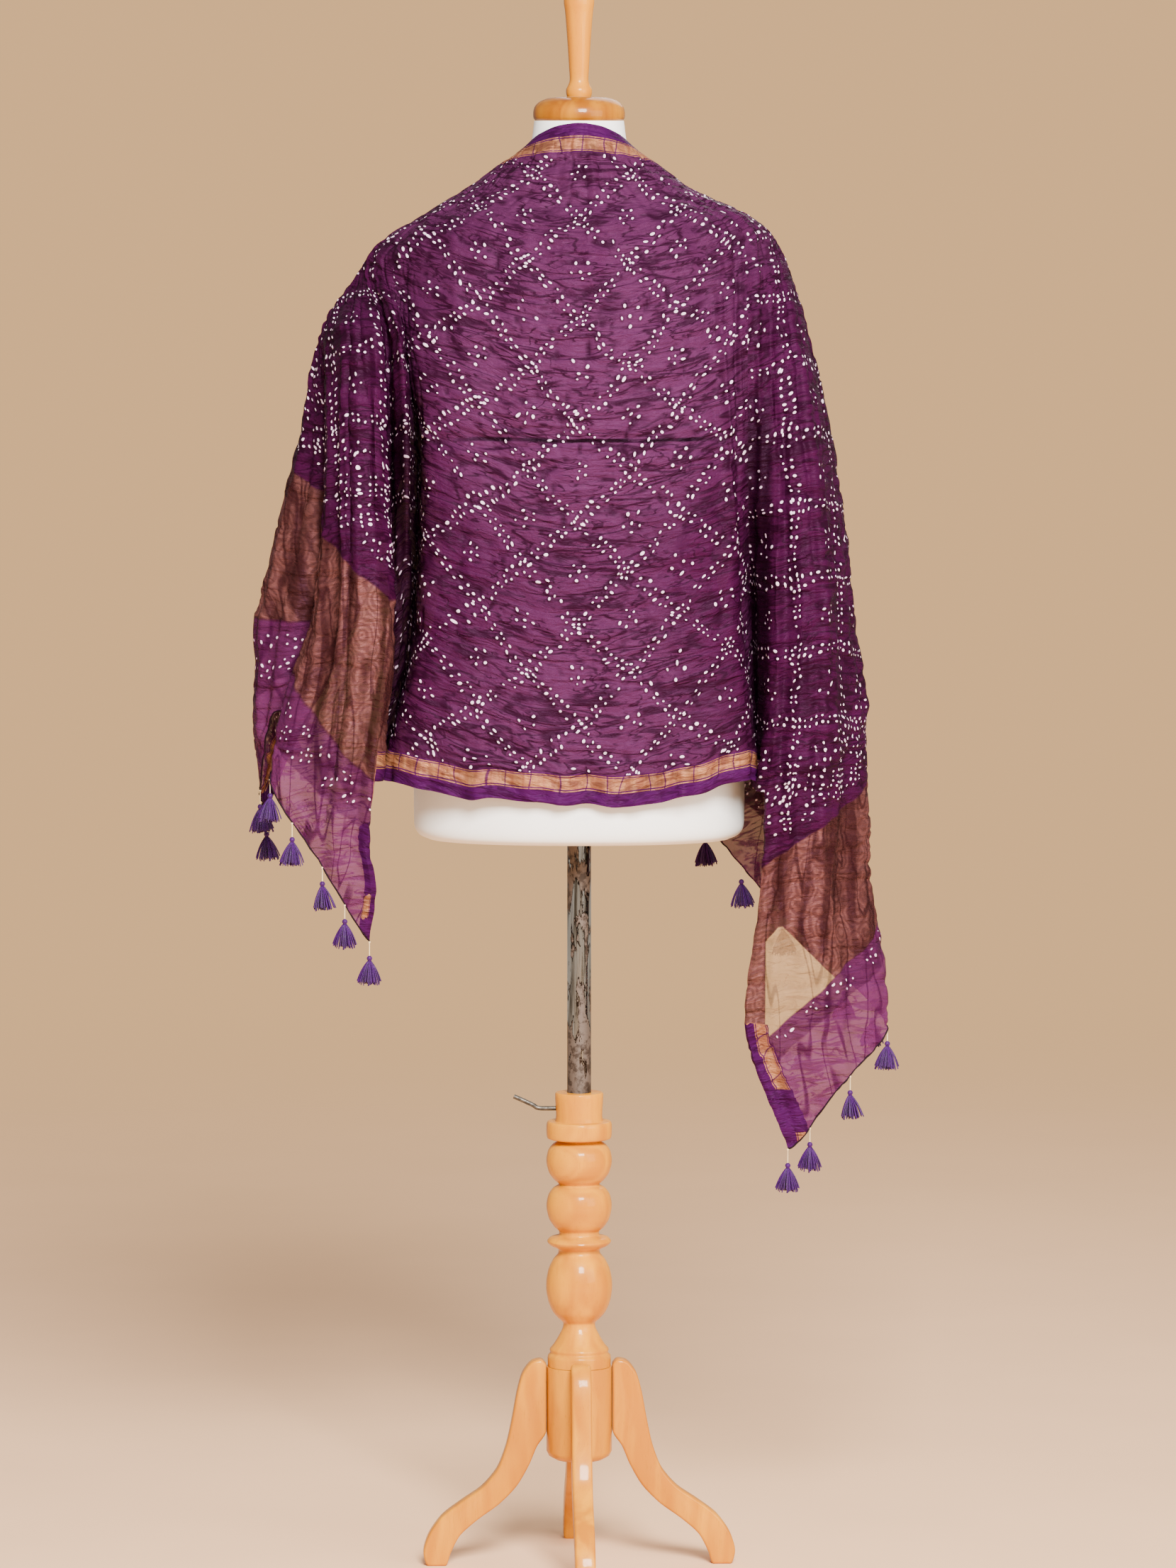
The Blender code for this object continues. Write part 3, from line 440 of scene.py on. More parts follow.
def upper_point(oval, angle_deg):
    """A point of an upper oval, at an angle from the front centre, right side positive."""
    right, left, front, back, z_front, z_right, z_left, z_back = oval
    angle = math.radians(angle_deg)
    across, along = math.sin(angle), math.cos(angle)
    width, z_side = (right, z_right) if across > 0 else (left, z_left)
    depth, z_far = (front, z_front) if along > 0 else (back, z_back)
    height = z_side + (z_far - z_side) * abs(along) ** NECKLINE_POWER
    return (width * across, -depth * along, height)


def fold_line_points():
    """Points of every fold line at every level. A line that ends at the hem goes on straight."""
    lines = []
    for _, angle, lower in FOLD_LINES:
        points = [upper_point(oval, angle) for oval in UPPER_OVALS] + list(lower)
        while len(points) <= LAST_LEVEL:
            x, y, z = points[-1]
            points.append((x, y, z - 60.0))
        lines.append(points)
    return np.array(lines, float)


LINES = fold_line_points()
SLOPES = np.array([monotone_slopes(line) for line in LINES])


def hermite(start, end, start_slope, end_slope, share):
    """A cubic from start to end."""
    squared, cubed = share * share, share ** 3
    return (
        (2 * cubed - 3 * squared + 1) * start
        + (cubed - 2 * squared + share) * start_slope
        + (3 * squared - 2 * cubed) * end
        + (cubed - squared) * end_slope
    )


def on_fold_line(number, level):
    """Points of the numbered fold lines at the given levels."""
    first = np.minimum(level.astype(int), LAST_LEVEL - 1)
    share = (level - first)[..., None]
    return hermite(LINES[number, first], LINES[number, first + 1], SLOPES[number, first],
                   SLOPES[number, first + 1], share)


def draped(line, level):
    """Points of the smooth cloth, before its folds."""
    first = np.clip(line.astype(int), 0, LAST_LINE - 1)
    near = [np.clip(first + shift, 0, LAST_LINE) for shift in (-1, 0, 1, 2)]
    a, b, c, d = (on_fold_line(number, level) for number in near)
    spans = [np.maximum(np.linalg.norm(q - p, axis=-1, keepdims=True), 1e-6) ** 0.5
             for p, q in ((a, b), (b, c), (c, d))]
    straight = (c - b) / spans[1]
    into = ((b - a) / spans[0] * spans[1] + straight * spans[0]) / (spans[0] + spans[1])
    out = (straight * spans[2] + (d - c) / spans[2] * spans[1]) / (spans[1] + spans[2])
    into = np.where((first == 0)[..., None], straight, into)
    out = np.where((first == LAST_LINE - 1)[..., None], straight, out)
    reach = spans[1] * FOLD_ROUNDNESS
    return hermite(b, c, into * reach, out * reach, (line - first)[..., None])


def bell(distance, half_width):
    """A smooth bump that is one at its middle."""
    return np.exp(-(distance / half_width) ** 2)


def eased(value, low, high):
    """Rises smoothly from nought at low to one at high."""
    share = np.clip((value - low) / (high - low), 0.0, 1.0)
    return share * share * (3 - 2 * share)


def within(value, rise, fall):
    """One between a rise and a fall, each given by its two ends, and nought beyond them."""
    return eased(value, *rise) * (1 - eased(value, *fall))


def fold_height(line, level):
    """How far the folds lift the cloth off its smooth shape."""
    total = np.zeros_like(line)
    for top, bottom, start, stop, half_width, depth in LONG_FOLDS:
        middle = top + (bottom - top) * (level - start) / (stop - start)
        fade = within(level, (start - 0.6, start + 0.6), (stop - 0.3, stop + 0.5))
        total += depth * fade * bell(line - middle, half_width)
    for middle, first, last, half_width, depth in CROSS_CREASES:
        fade = within(line, (first - 0.3, first + 0.3), (last - 0.3, last + 0.3))
        total += depth * fade * bell(level - middle, half_width)
    return total


def row_level(line, row):
    """The levels of the grid's rows where they cross the lines."""
    levels = []
    for rows, table in ((LEFT_ROWS, LEFT_LEVELS), (RIGHT_ROWS, RIGHT_LEVELS)):
        numbers = [LINE_NUMBER[name] for name in table]
        at_each = np.array([np.interp(row, rows, table[name]) for name in table])
        place = np.interp(line, numbers, range(len(numbers)))
        lower = np.minimum(place.astype(int), len(numbers) - 2)[None]
        share = place - lower[0]
        levels.append(np.take_along_axis(at_each, lower, 0)[0] * (1 - share)
                      + np.take_along_axis(at_each, lower + 1, 0)[0] * share)
    return np.where(line <= LINE_NUMBER["left_valley"], *levels)


def outward(line, level):
    """The smooth cloth's unit normals, away from the form."""
    across = draped(np.minimum(line + 0.02, LAST_LINE), level) - draped(np.maximum(line - 0.02, 0), level)
    down = draped(line, np.minimum(level + 0.02, LAST_LEVEL)) - draped(line, np.maximum(level - 0.02, 0))
    normal = np.cross(down, across)
    return normal / np.linalg.norm(normal, axis=-1, keepdims=True)


def rumple(across, down, cell_across, cell_down, seed):
    """Seeded soft noise from nought to one over the cloth, in cells of a given size."""
    dice = np.random.default_rng(seed).random((97, 257))
    column, row = across / cell_across + 500, down / cell_down + 500
    left, top = np.floor(column).astype(int), np.floor(row).astype(int)
    right_share, low_share = eased(column - left, 0, 1), eased(row - top, 0, 1)
    corners = [[dice[(left + i) % 97, (top + j) % 257] for i in (0, 1)] for j in (0, 1)]
    upper, lower = (pair[0] * (1 - right_share) + pair[1] * right_share for pair in corners)
    return upper * (1 - low_share) + lower * low_share


def plateaus(value):
    """Turns soft noise into flat swells parted by sharp valleys."""
    return np.minimum(np.abs(2 * value - 1) * 2.6, 1.0) ** 0.75


def soft_creases(line, row):
    """The hand-laid creases' height."""
    total = np.zeros_like(line)
    for top, bottom, start, stop, half_width, height in SOFT_CREASES:
        middle = top + (bottom - top) * (row - start) / (stop - start)
        middle = middle + 0.05 * np.sin(row * 1.3 + top * 7)
        fade = within(row, (start - 1.5, start + 1.5), (stop - 1.5, stop + 1.0))
        total += height * fade * bell(line - middle, half_width)
    for middle, first, last, half_width, height, drop in CROSS_FOLDS:
        share = (line - first) / (last - first)
        at = middle + drop * share + 0.12 * np.sin(share * 5 + middle)
        fade = within(line, (first - 0.2, first + 0.5), (last - 0.5, last + 0.2))
        total += height * fade * bell(row - at, half_width)
    return total


def hem_ripple(line, row):
    """The uneven waves of the front's lower edge."""
    wave = np.sin(line * 9.0) + 0.6 * np.sin(line * 15.7 + 1.0) + 0.5 * np.sin(line * 23.1 + 2.0)
    return within(row, (15.2, HEM_ROW), (HEM_ROW, 17.6)) * (1.4 + wave) * 2.2


def lengths_along(points, axis):
    """How far each point is along its row or column."""
    steps = np.linalg.norm(np.diff(points, axis=axis), axis=-1)
    pad = [(0, 0), (0, 0)]
    pad[axis] = (1, 0)
    return np.pad(np.cumsum(steps, axis=axis), pad)


def cloth_grid(first, last, last_row, middle_line):
    """A stretch's grid: lines, rows, outer points, distances across and down in millimetres, and where the
    crinkles dip, as a mask for painted shade.
    """
    lines = [float(first)]
    for number in range(first, last):
        widest = np.linalg.norm(LINES[number + 1, 3:7] - LINES[number, 3:7], axis=-1).max()
        columns = max(8, round(widest / COLUMN_STEP))
        lines += list(np.linspace(number, number + 1, columns + 1)[1:])
    rows = np.linspace(0, last_row, last_row * FINE_ROWS + 1)
    line, row = np.meshgrid(lines, rows)
    level = row_level(line, row)
    smooth, normal = draped(line, level), outward(line, level)
    down = lengths_along(smooth, 0)
    middle = draped(line[:1], np.full_like(line[:1], BUST_LEVEL))
    across = np.repeat(lengths_along(middle, 1), len(rows), axis=0) + WIDTH_TO_LINE[first]
    settings = bpy.context.scene.stole
    bend = 10 * rumple(across, down, 30, 26, 5)
    crisp = plateaus(rumple(across + bend, down + bend, 34, 17, 1))
    small = plateaus(rumple(across + bend, down - bend, 22, 10.5, 2))
    broad = rumple(across, down, 52, 44, 3)
    crinkle = (0.9 * crisp + 0.65 * small + 1.1 * broad - 1.2) * settings.crinkle / MM
    crinkle *= eased(down, 4, 34)
    lift = fold_height(line, level) + soft_creases(line, row) + hem_ripple(line, row) + crinkle
    points = smooth + normal * lift[..., None]
    wave = np.sin(line * 3.1 + 0.6) + 0.7 * np.sin(line * 7.3) + 0.5 * np.sin(line * 12.9 + 2.0)
    on_panel = within(line, (9.5, 10.5), (15.8, 16.6))
    points[..., 2] += 1.9 * wave * on_panel * eased(row, 14.8, HEM_ROW)
    clearance = settings.cloth_thick / MM + 0.5
    points += normal * np.maximum(clearance - torso_reach(points), 0)[..., None]
    # Where the crinkles dip: a mask for painted shade in the cloth's colour.
    crinkle_dip_shade = np.clip(1.25 - 0.75 * crisp - 0.5 * small, 0, 1) * eased(down, 4, 34)
    local = lengths_along(smooth, 1)
    centre = int(np.argmin(np.abs(line[0] - middle_line)))
    local = local - local[:, centre:centre + 1] + WIDTH_TO_LINE[middle_line]
    return line, row, points, local, down, crinkle_dip_shade


def widths_to_lines():
    """How far each fold line is from the panel's centre, across the cloth at the bust."""
    line = np.linspace(0, LAST_LINE, LAST_LINE * 40 + 1)[None]
    across = lengths_along(draped(line, np.full_like(line, BUST_LEVEL)), 1)[0]
    return across[::40] - across[LINE_NUMBER["panel_centre"] * 40]


WIDTH_TO_LINE = widths_to_lines()


def selvedge_distance(line, row, points, down, edge_line, hem_lines):
    """How far the cloth is from its nearest woven edge, in millimetres."""
    across = lengths_along(points, 1)

    def off_line(number):
        column = int(np.argmin(np.abs(line[0] - number)))
        return np.abs(across - across[:, column:column + 1])

    hem_down = np.array([np.interp(HEM_ROW, row[:, c], down[:, c]) for c in range(line.shape[1])])[None]
    distance = down.copy()
    if edge_line is not None:
        distance = np.minimum(distance, off_line(edge_line))
    low, high = hem_lines
    high = high - 0.3 if high == LINE_NUMBER["right_fold"] else high
    hem = np.where((line >= low) & (line <= high), np.abs(down - hem_down), FAR)
    distance = np.minimum(distance, hem)
    for name, side, heights, stretch in FALL_EDGES:
        number = LINE_NUMBER[name]
        if number in hem_lines:
            late = FAR * (1 - eased(points[..., 2], *heights))
            beside = (line - number) * side > -0.02
            distance = np.minimum(distance, off_line(number) * stretch + late + np.where(beside, 0.0, FAR))
    return distance


def gilding(line, points):
    """Where a woven edge shows its metal thread: one on the long edges, none along parts of the falls."""
    height = points[..., 2]
    on_right = line >= LINE_NUMBER["right_fold"] - 0.02
    on_left = line <= LINE_NUMBER["left_fold"] + 0.02
    right = np.maximum(within(height, *RIGHT_GILT), 1 - eased(height, *TIP_GILT))
    gilt = np.where(on_right & (height < 700), right, np.ones_like(height))
    return np.where(on_left & (height < 815), within(height, *LEFT_GILT), gilt)


def organza_window(points):
    """How far inside the bare window of the long end each point is, in millimetres."""
    x, z = points[..., 0], points[..., 2]
    sides = [x - 193.0, (896.0 - x - z) * 0.707, (z - 540.0 - 1.147 * (x - 198.0)) * 0.657,
             (668.0 + 1.2 * (x - 193.0) - z) * 0.640]
    return np.minimum.reduce(sides)


def thin_shell(name, points, thick, keep):
    """A closed thin shell over a grid of outer points, without the cells that aren't kept."""
    down, across = np.gradient(points, axis=0), np.gradient(points, axis=1)
    normal = np.cross(down, across)
    normal = normal / np.maximum(np.linalg.norm(normal, axis=-1, keepdims=True), 1e-9)
    inner = points - normal * thick
    rows, columns = points.shape[:2]
    number = np.arange(rows * columns).reshape(rows, columns)
    a, b = number[:-1, :-1][keep], number[:-1, 1:][keep]
    d, c = number[1:, :-1][keep], number[1:, 1:][keep]
    outer_faces = np.stack([a, d, c, b], axis=1)
    total = rows * columns
    edges = np.concatenate([outer_faces[:, [i, (i + 1) % 4]] for i in range(4)])
    codes = edges[:, 0] * total + edges[:, 1]
    rim = edges[~np.isin(edges[:, 1] * total + edges[:, 0], codes)]
    rim_faces = np.stack([rim[:, 1], rim[:, 0], rim[:, 0] + total, rim[:, 1] + total], axis=1)
    faces = np.concatenate([outer_faces, outer_faces[:, ::-1] + total, rim_faces])
    used, packed = np.unique(faces, return_inverse=True)
    everything = np.concatenate([points.reshape(-1, 3), inner.reshape(-1, 3)]) * MM
    mesh = bpy.data.meshes.new(name)
    mesh.from_pydata(everything[used].tolist(), [], packed.reshape(-1, 4).tolist())
    mesh.shade_smooth()
    mesh.set_sharp_from_angle(angle=math.radians(65))
    return mesh, used % total


def set_map(mesh, name, columns):
    """A UV map from one pair of numbers for each vertex."""
    corners = np.zeros(len(mesh.loops), np.int32)
    mesh.loops.foreach_get("vertex_index", corners)
    mesh.uv_layers.new(name=name).data.foreach_set("uv", columns[corners].astype(np.float32).ravel())


def torso_reach(points):
    """How far points stand off the form, in millimetres, negative inside."""
    heights = [row[0] for row in TORSO_SECTIONS]
    width, front, back = (np.interp(points[..., 2], heights, [row[k] for row in TORSO_SECTIONS])
                          for k in (1, 2, 3))
    depth = np.where(points[..., 1] > 0, back, front)
    share = (np.abs(points[..., 0] / width) ** TORSO_POWER
             + np.abs(points[..., 1] / depth) ** TORSO_POWER) ** (1 / TORSO_POWER)
    beside = np.hypot(points[..., 0], points[..., 1])
    return beside * (1 - 1 / np.maximum(share, 1e-6))


def put(name, mesh, body, slot, nodes=(), material=None):
    """Places a finished mesh as an object that rides on a body and stands for its solids."""
    if material:
        mesh.materials.clear()
        mesh.materials.append(material)
    piece = bpy.data.objects.new(name, mesh)
    show(piece)
    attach(piece, body)
    if nodes:
        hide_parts(*nodes)
    return piece


def drape(name, nodes):
    """One stretch of the stole as a thin creased shell."""
    first, last, last_row, middle_line, turn_deg, pallu_rows, edge_line, hem_lines = STRETCHES[name]
    settings = bpy.context.scene.stole
    line, row, points, across, down, crinkle_dip_shade = cloth_grid(first, last, last_row, middle_line)
    cell_line = (line[:-1, :-1] + line[1:, 1:]) / 2
    cell_row = (row[:-1, :-1] + row[1:, 1:]) / 2
    below_hem = (cell_row > HEM_ROW) & (cell_line > hem_lines[0]) & (cell_line < hem_lines[1])
    mesh, source = thin_shell(name, points, settings.cloth_thick / MM, ~below_hem)
    turn = math.radians(turn_deg)
    tied = np.stack([across * math.cos(turn) - down * math.sin(turn),
                     across * math.sin(turn) + down * math.cos(turn)], axis=-1)
    tied = tied / (settings.lattice_cell / MM)
    set_map(mesh, "cloth", (np.stack([across, down], axis=-1) * MM).reshape(-1, 2)[source])
    set_map(mesh, "tied", tied.reshape(-1, 2)[source])
    start, stop, end = pallu_rows
    place = np.where(row < stop, (row - start) / (stop - start), 1 + (row - stop) / (end - stop))
    in_left_valley = (line > LINE_NUMBER["left_fold"] + 0.35) & (line < LINE_NUMBER["panel_centre"])
    place = np.where(in_left_valley, np.minimum(place, -0.7), place)
    tuck_shade_mask = sum(within(line, *tuck) for tuck in TUCKS) * (1 - eased(points[..., 2], *TUCK_TOP))
    edge = selvedge_distance(line, row, points, down, edge_line, hem_lines)
    values_by_name = {"selvedge": edge * MM, "gilt": gilding(line, points), "pallu": place, "tuck_shade": tuck_shade_mask,
                      "bare": organza_window(points) * MM, "off_form": torso_reach(points) * MM, "crinkle_dip_shade": crinkle_dip_shade}
    for key, values in values_by_name.items():
        mesh.attributes.new(key, "FLOAT", "POINT").data.foreach_set(
            "value", values.ravel()[source].astype(np.float32))
    return put(name, mesh, "form", "bandhani", nodes, stole_cloth())


def join(tree, first, second, third=0.0):
    """Three numbers as one vector."""
    return add(tree, "ShaderNodeCombineXYZ", {0: first, 1: second, 2: third})


def near_multiple(tree, value, spacing, shift=0.0):
    """How far a value is from the nearest multiple of a spacing, signed, and that multiple's number."""
    share = value / spacing + shift
    number = round(share)
    return (share - number) * spacing, number


def tied_dot(tree, aside, along, number, radius):
    """Distance past the edge of one hand-tied dot, moved and sized by its number. A few are missing."""
    chance = add(tree, "ShaderNodeTexWhiteNoise", {"Vector": number}, 1, noise_dimensions="3D")
    first, second, third = (chance.part(part) for part in (0, 1, 2))
    reach = join(tree, (first - 0.5) * 0.0024 + aside, (second - 0.5) * 0.003 + along).length()
    return reach - third.ease(0.05, 0.07, -0.5, 1.0) * radius * third.ease(0.0, 1.0, 0.74, 1.22)


def dotted_pair(tree, aside, along, cell, gap, step, shift, radius):
    """Distance to the dots of a double dotted line that repeats every cell."""
    off_line, line_number = near_multiple(tree, aside, cell)
    from_row = abs(off_line) - gap / 2
    from_dot, dot_number = near_multiple(tree, along, step, shift)
    number = join(tree, line_number + off_line.maths("SIGN") * 0.25, dot_number, 7.3 + shift)
    return tied_dot(tree, from_row, from_dot, number, radius)


def dot_cluster(tree, x, y, cell, ring_radius, count, radius):
    """Distance to a ring of dots round one dot in the middle of each cell."""
    across, column = near_multiple(tree, x, cell, 0.5)
    down, row = near_multiple(tree, y, cell, 0.5)
    reach = join(tree, across, down).length()
    off_spoke, spoke = near_multiple(tree, down.maths("ARCTAN2", across), 2 * math.pi / count)
    number = join(tree, column, row, spoke * 0.5 + 0.1)
    ring = tied_dot(tree, reach - ring_radius, off_spoke * ring_radius, number, radius)
    return ring.min(tied_dot(tree, across, down, join(tree, column, row, 40.0), radius))


def dot_squares(tree, x, y, spacing, step, radius):
    """Distance to small squares of three by three dots."""
    across, column = near_multiple(tree, x, spacing)
    down, row = near_multiple(tree, y, spacing)
    off_column, first = near_multiple(tree, across, step)
    off_row, second = near_multiple(tree, down, step)
    number = join(tree, column * 9.0 + first, row * 9.0 + second, 60.0)
    distance = tied_dot(tree, off_column, off_row, number, radius)
    outside = abs(first).max(abs(second))
    return distance + outside.maths("GREATER_THAN", 1.5)


def stole_cloth():
    """Thin purple silk with resist-dyed dots, gold borders, zari ends and sheer end bands."""
    found = bpy.data.materials.get("stole silk")
    if found:
        return found
    settings = bpy.context.scene.stole
    made, tree, shader = new_shader("stole silk")
    cloth = add(tree, "ShaderNodeUVMap", uv_map="cloth")
    tied = add(tree, "ShaderNodeUVMap", uv_map="tied")
    selvedge, pallu, off_form, crinkle_dip_shade, tuck_shade, bare, gilt = (
        stored(tree, name) for name in ("selvedge", "pallu", "off_form", "crinkle_dip_shade", "tuck_shade", "bare", "gilt"))
    cell = settings.lattice_cell
    # The tied lattice, drawn by hand: its lines wander a little.
    wander = add(tree, "ShaderNodeTexNoise", {"Vector": cloth, "Scale": 24.0, "Detail": 1.0}, 1)
    wander = wander.vector("SUBTRACT", (0.5, 0.5, 0.5)).vector("MULTIPLY", (0.024, 0.024, 0.0))
    place = tied.vector("MULTIPLY", (cell, cell, 0.0)).vector("ADD", wander)
    x, y = (place.part(number) for number in (0, 1))
    step, gap, radius = settings.dot_step, settings.dot_step * 0.85, settings.dot_radius
    lines_down = dotted_pair(tree, x, y, cell, gap, step, 0.0, radius)
    lines_across = dotted_pair(tree, y, x, cell, gap, step, 0.25, radius)
    ring = dot_cluster(tree, x, y, cell, 0.0092, 5, radius)
    lattice = lines_down.min(lines_across).min(ring)
    # Small squares of dots fill the ground beside the zari end and cross the end band.
    squares = dot_squares(tree, x, y, step * 4.2, step, radius)
    in_field = pallu.ease(-0.1, -0.13)
    near_end = pallu.ease(-0.62, -0.6) * in_field
    lattice -= in_field - 1.0
    squares -= near_end - 1.0
    ends = pallu.ease(1.02, 1.04) * pallu.ease(1.22, 1.2)
    band = dot_cluster(tree, x, y, 0.029, 0.0082, 5, radius) - (ends - 1.0)
    nearest = lattice.min(squares).min(band)
    dots = nearest.ease(0.00028, -0.00028)
    pucker = nearest.ease(0.003, -0.001)
    # Masks by distance from the woven edge and by place along the cloth.
    gold_line = selvedge.maths("COMPARE", 0.0142, 0.0006)
    gold_band = selvedge.maths("COMPARE", 0.0222, 0.0062)
    gold_trim = selvedge.maths("COMPARE", 0.0298, 0.0005)
    border = selvedge.ease(0.0318, 0.0312)
    zari = pallu.ease(-0.01, 0.01) * pallu.ease(1.01, 0.99)
    # Bare see-through organza shows as a window in the long end.
    window = bare.ease(0.0, 0.0012) * zari
    sheer = pallu.ease(1.24, 1.28).max(pallu.ease(1.0, 1.01, 0.0, 0.45))
    field = 1.0 - border.max(zari)
    dots = dots * field
    pucker = pucker * field
    # Weave and colour.
    threads = cloth.noise((900.0, 2600.0, 1.0), 1.0, 0.5)
    # Fine tied creases run mostly across the cloth, painted as thin dark lines of shade that break off.
    long_wave = cloth.noise((12.0, 60.0, 1.0), 2.0, 0.5, 0.9)
    long_line = abs(long_wave - 0.5).ease(0.052, 0.012)
    long_line = long_line * cloth.noise(15.0, 1.0).ease(0.34, 0.5)
    short_wave = cloth.noise((30.0, 105.0, 1.0), 2.0, 0.55, 0.7)
    fine_line = abs(short_wave - 0.5).ease(0.048, 0.008)
    broken = cloth.noise(34.0, 1.0).ease(0.42, 0.54)
    crease_shade = (fine_line * broken).max(long_line).max(crinkle_dip_shade.ease(0.45, 1.0))
    # One sharp fold lies right across the panel over the bust, its shade painted as a dark broken line.
    spot = on_object(tree)
    bend = spot.noise(16.0, 1.0) * 0.012
    aside, ahead, height = (spot.part(part) for part in (0, 1, 2))
    off_fold = abs(height + bend - 1.196)
    bust_fold_shade = off_fold.ease(0.003, 0.0007) * ahead.ease(0.0, -0.02)
    bust_fold_shade *= aside.ease(-0.16, -0.07) * aside.ease(0.162, 0.11)
    bust_fold_shade *= spot.noise(42.0, 1.0).ease(0.36, 0.52, 0.45, 1.0)
    crease_shade = crease_shade.max(bust_fold_shade)
    # The sheer ends and the bare cloth are folded lengthwise, their folds painted as thin dark lines of shade.
    tip_wave = cloth.noise((34.0, 7.0, 1.0), 1.0, 0.5, 0.8)
    tip_fold_shade_line = abs(tip_wave - 0.5).ease(0.04, 0.008)
    sheer_fold_shade = (crease_shade * 0.35).max(tip_fold_shade_line * 0.8)
    slub = cloth.noise((40.0, 700.0, 1.0), 2.0, 0.6)
    cloudy = cloth.noise(18.0, 3.0, 0.55)
    shade = cloudy.ease(0.3, 0.7, 0.55, 1.0).blend(settings.purple_deep_and_shade, settings.purple)
    # Painted light: near the form the cloth is lightened to mauve, as if the white form showed through it.
    shade = (off_form.ease(0.055, 0.01) * 0.9).blend(shade, settings.purple_lit_by_form)
    shade = (slub.ease(0.5, 0.75) * 0.15).blend(shade, settings.purple_lit_by_form)
    # Painted shade in the creases, the crinkles' dips and the sharp fold over the bust.
    shade = (crease_shade * (1.0 - border) * 0.88).blend(shade, settings.purple_deep_and_shade)
    # Painted shade in the deep tucks beside the panel.
    shade = (tuck_shade * 0.85).blend(shade, dimmed(settings.purple_deep_and_shade, 0.5))
    shade = (pucker * 0.45).blend(shade, settings.purple_deep_and_shade)
    # Painted shade along the sharp fold.
    shade = bust_fold_shade.blend(shade, dimmed(settings.purple_deep_and_shade, 0.25))
    # Zari: a copper ground with a curling figure and fine weft lines, its soft folds painted in as dark shade.
    cell_reach = add(tree, "ShaderNodeTexVoronoi", {"Vector": cloth, "Scale": 40.0})
    curl = (cloth.noise(55.0, 2.0) * 9.0 + cell_reach * 28.0).maths("SINE") * 0.5 + 0.5
    weft = add(tree, "ShaderNodeTexWave", {"Vector": cloth, "Scale": 260.0, "Distortion": 0.6},
               bands_direction="Y")
    fold = cloth.noise((44.0, 8.0, 1.0), 2.0, 0.5, 0.6).ease(0.36, 0.62)
    figure_and_fold_shade = curl.ease(0.2, 0.85, 0.55, 1.0) * weft.ease(0.1, 0.9, 0.8, 1.0) * (fold * 0.85 + 0.15)
    copper = figure_and_fold_shade.blend(settings.zari_ground, settings.zari_thread)
    # Painted fold shade on the zari.
    copper = (tip_fold_shade_line * 0.75).blend(copper, settings.zari_ground)
    shade = zari.blend(shade, copper)
    shade = window.blend(shade, (sheer_fold_shade * 0.7).blend(settings.organza, settings.zari_ground))
    shade = (sheer * 0.85).blend(shade, sheer_fold_shade.blend(settings.end_mauve, settings.purple))
    # The border's metal thread is crushed into bars, with thin dark lines between.
    gold_weave = cloth.noise((150.0, 30.0, 1.0), 2.0, 0.5, 0.4)
    off_bar, bar_number = near_multiple(tree, x + y, 0.034)
    slant = add(tree, "ShaderNodeTexWhiteNoise", {"Vector": join(tree, bar_number, 3.0)}, 0)
    bar_line = abs((slant - 0.5) * 0.018 + off_bar)
    bars = bar_line.ease(0.0016, 0.0006)
    gold = gold_weave.ease(0.35, 0.65, 0.0, 0.6).blend(settings.gold, settings.gold_deep)
    gold = (bars * 0.85).blend(gold, settings.border_purple)
    metal_thread = gold_line.max(gold_trim).max(gold_band) * gilt.ease(0.3, 0.5)
    edge_colour = metal_thread.blend(settings.border_purple, gold)
    # Painted crease shade on the borders too.
    edge_colour = (crease_shade * 0.5).blend(edge_colour, settings.purple_deep_and_shade)
    shade = border.blend(shade, edge_colour)
    shade = threads.ease(0.35, 0.65, 0.0, 0.1).blend(shade, (0.0, 0.0, 0.0))
    # Painted tuck shade on the dots: in the tucks they are dimmed towards mauve.
    coloured = (tuck_shade * 0.6).blend(settings.dot_white, settings.purple_lit_by_form)
    shader["Base Color"] = dots.blend(shade, coloured)
    # Sheerness on each face of the shell.
    alpha = threads.ease(0.3, 0.7, -0.015, 0.015) + settings.cover
    alpha -= sheer * settings.end_sheerness + zari * (settings.end_sheerness * 0.3) + window * 0.5
    alpha += border.max(dots) * 0.6 + crease_shade * 0.12 + sheer_fold_shade * sheer.max(window) * 0.3
    shader["Alpha"] = alpha.min(1.0)
    shader["Metallic"] = (zari * figure_and_fold_shade).max(metal_thread * border) * 0.3
    shader["Roughness"] = slub.ease(0.2, 0.8, 0.44, 0.6)
    shader["Specular IOR Level"] = 0.08
    shader["Specular Tint"] = (0.95, 0.45, 0.85, 1.0)
    normal = cloth.noise((70.0, 230.0, 1.0), 3.0, 0.55, 0.8).bump(0.0026, 0.9)
    for height, distance, strength in ((long_wave, 0.01, 0.6), (crease_shade, 0.0018, -0.8),
                                       (pucker, 0.0012, 0.8), (threads, 0.0001, 0.5)):
        normal = height.bump(distance, strength, normal)
    shader["Normal"] = normal
    return made


def rolled_silk():
    """Dark purple silk of the rolled end edges."""
    found = bpy.data.materials.get("rolled silk")
    if found:
        return found
    settings = bpy.context.scene.stole
    made, tree, shader = new_shader("rolled silk")
    place = on_object(tree)
    twist = place.noise(700.0, 2.0)
    shade = twist.ease(0.35, 0.65).blend(dimmed(settings.purple_deep_and_shade, 0.5),
                                         settings.purple_deep_and_shade)
    shader["Base Color"] = shade
    shader["Roughness"] = 0.6
    shader["Specular IOR Level"] = 0.1
    shader["Normal"] = twist.bump(0.0003, 0.7)
    return made


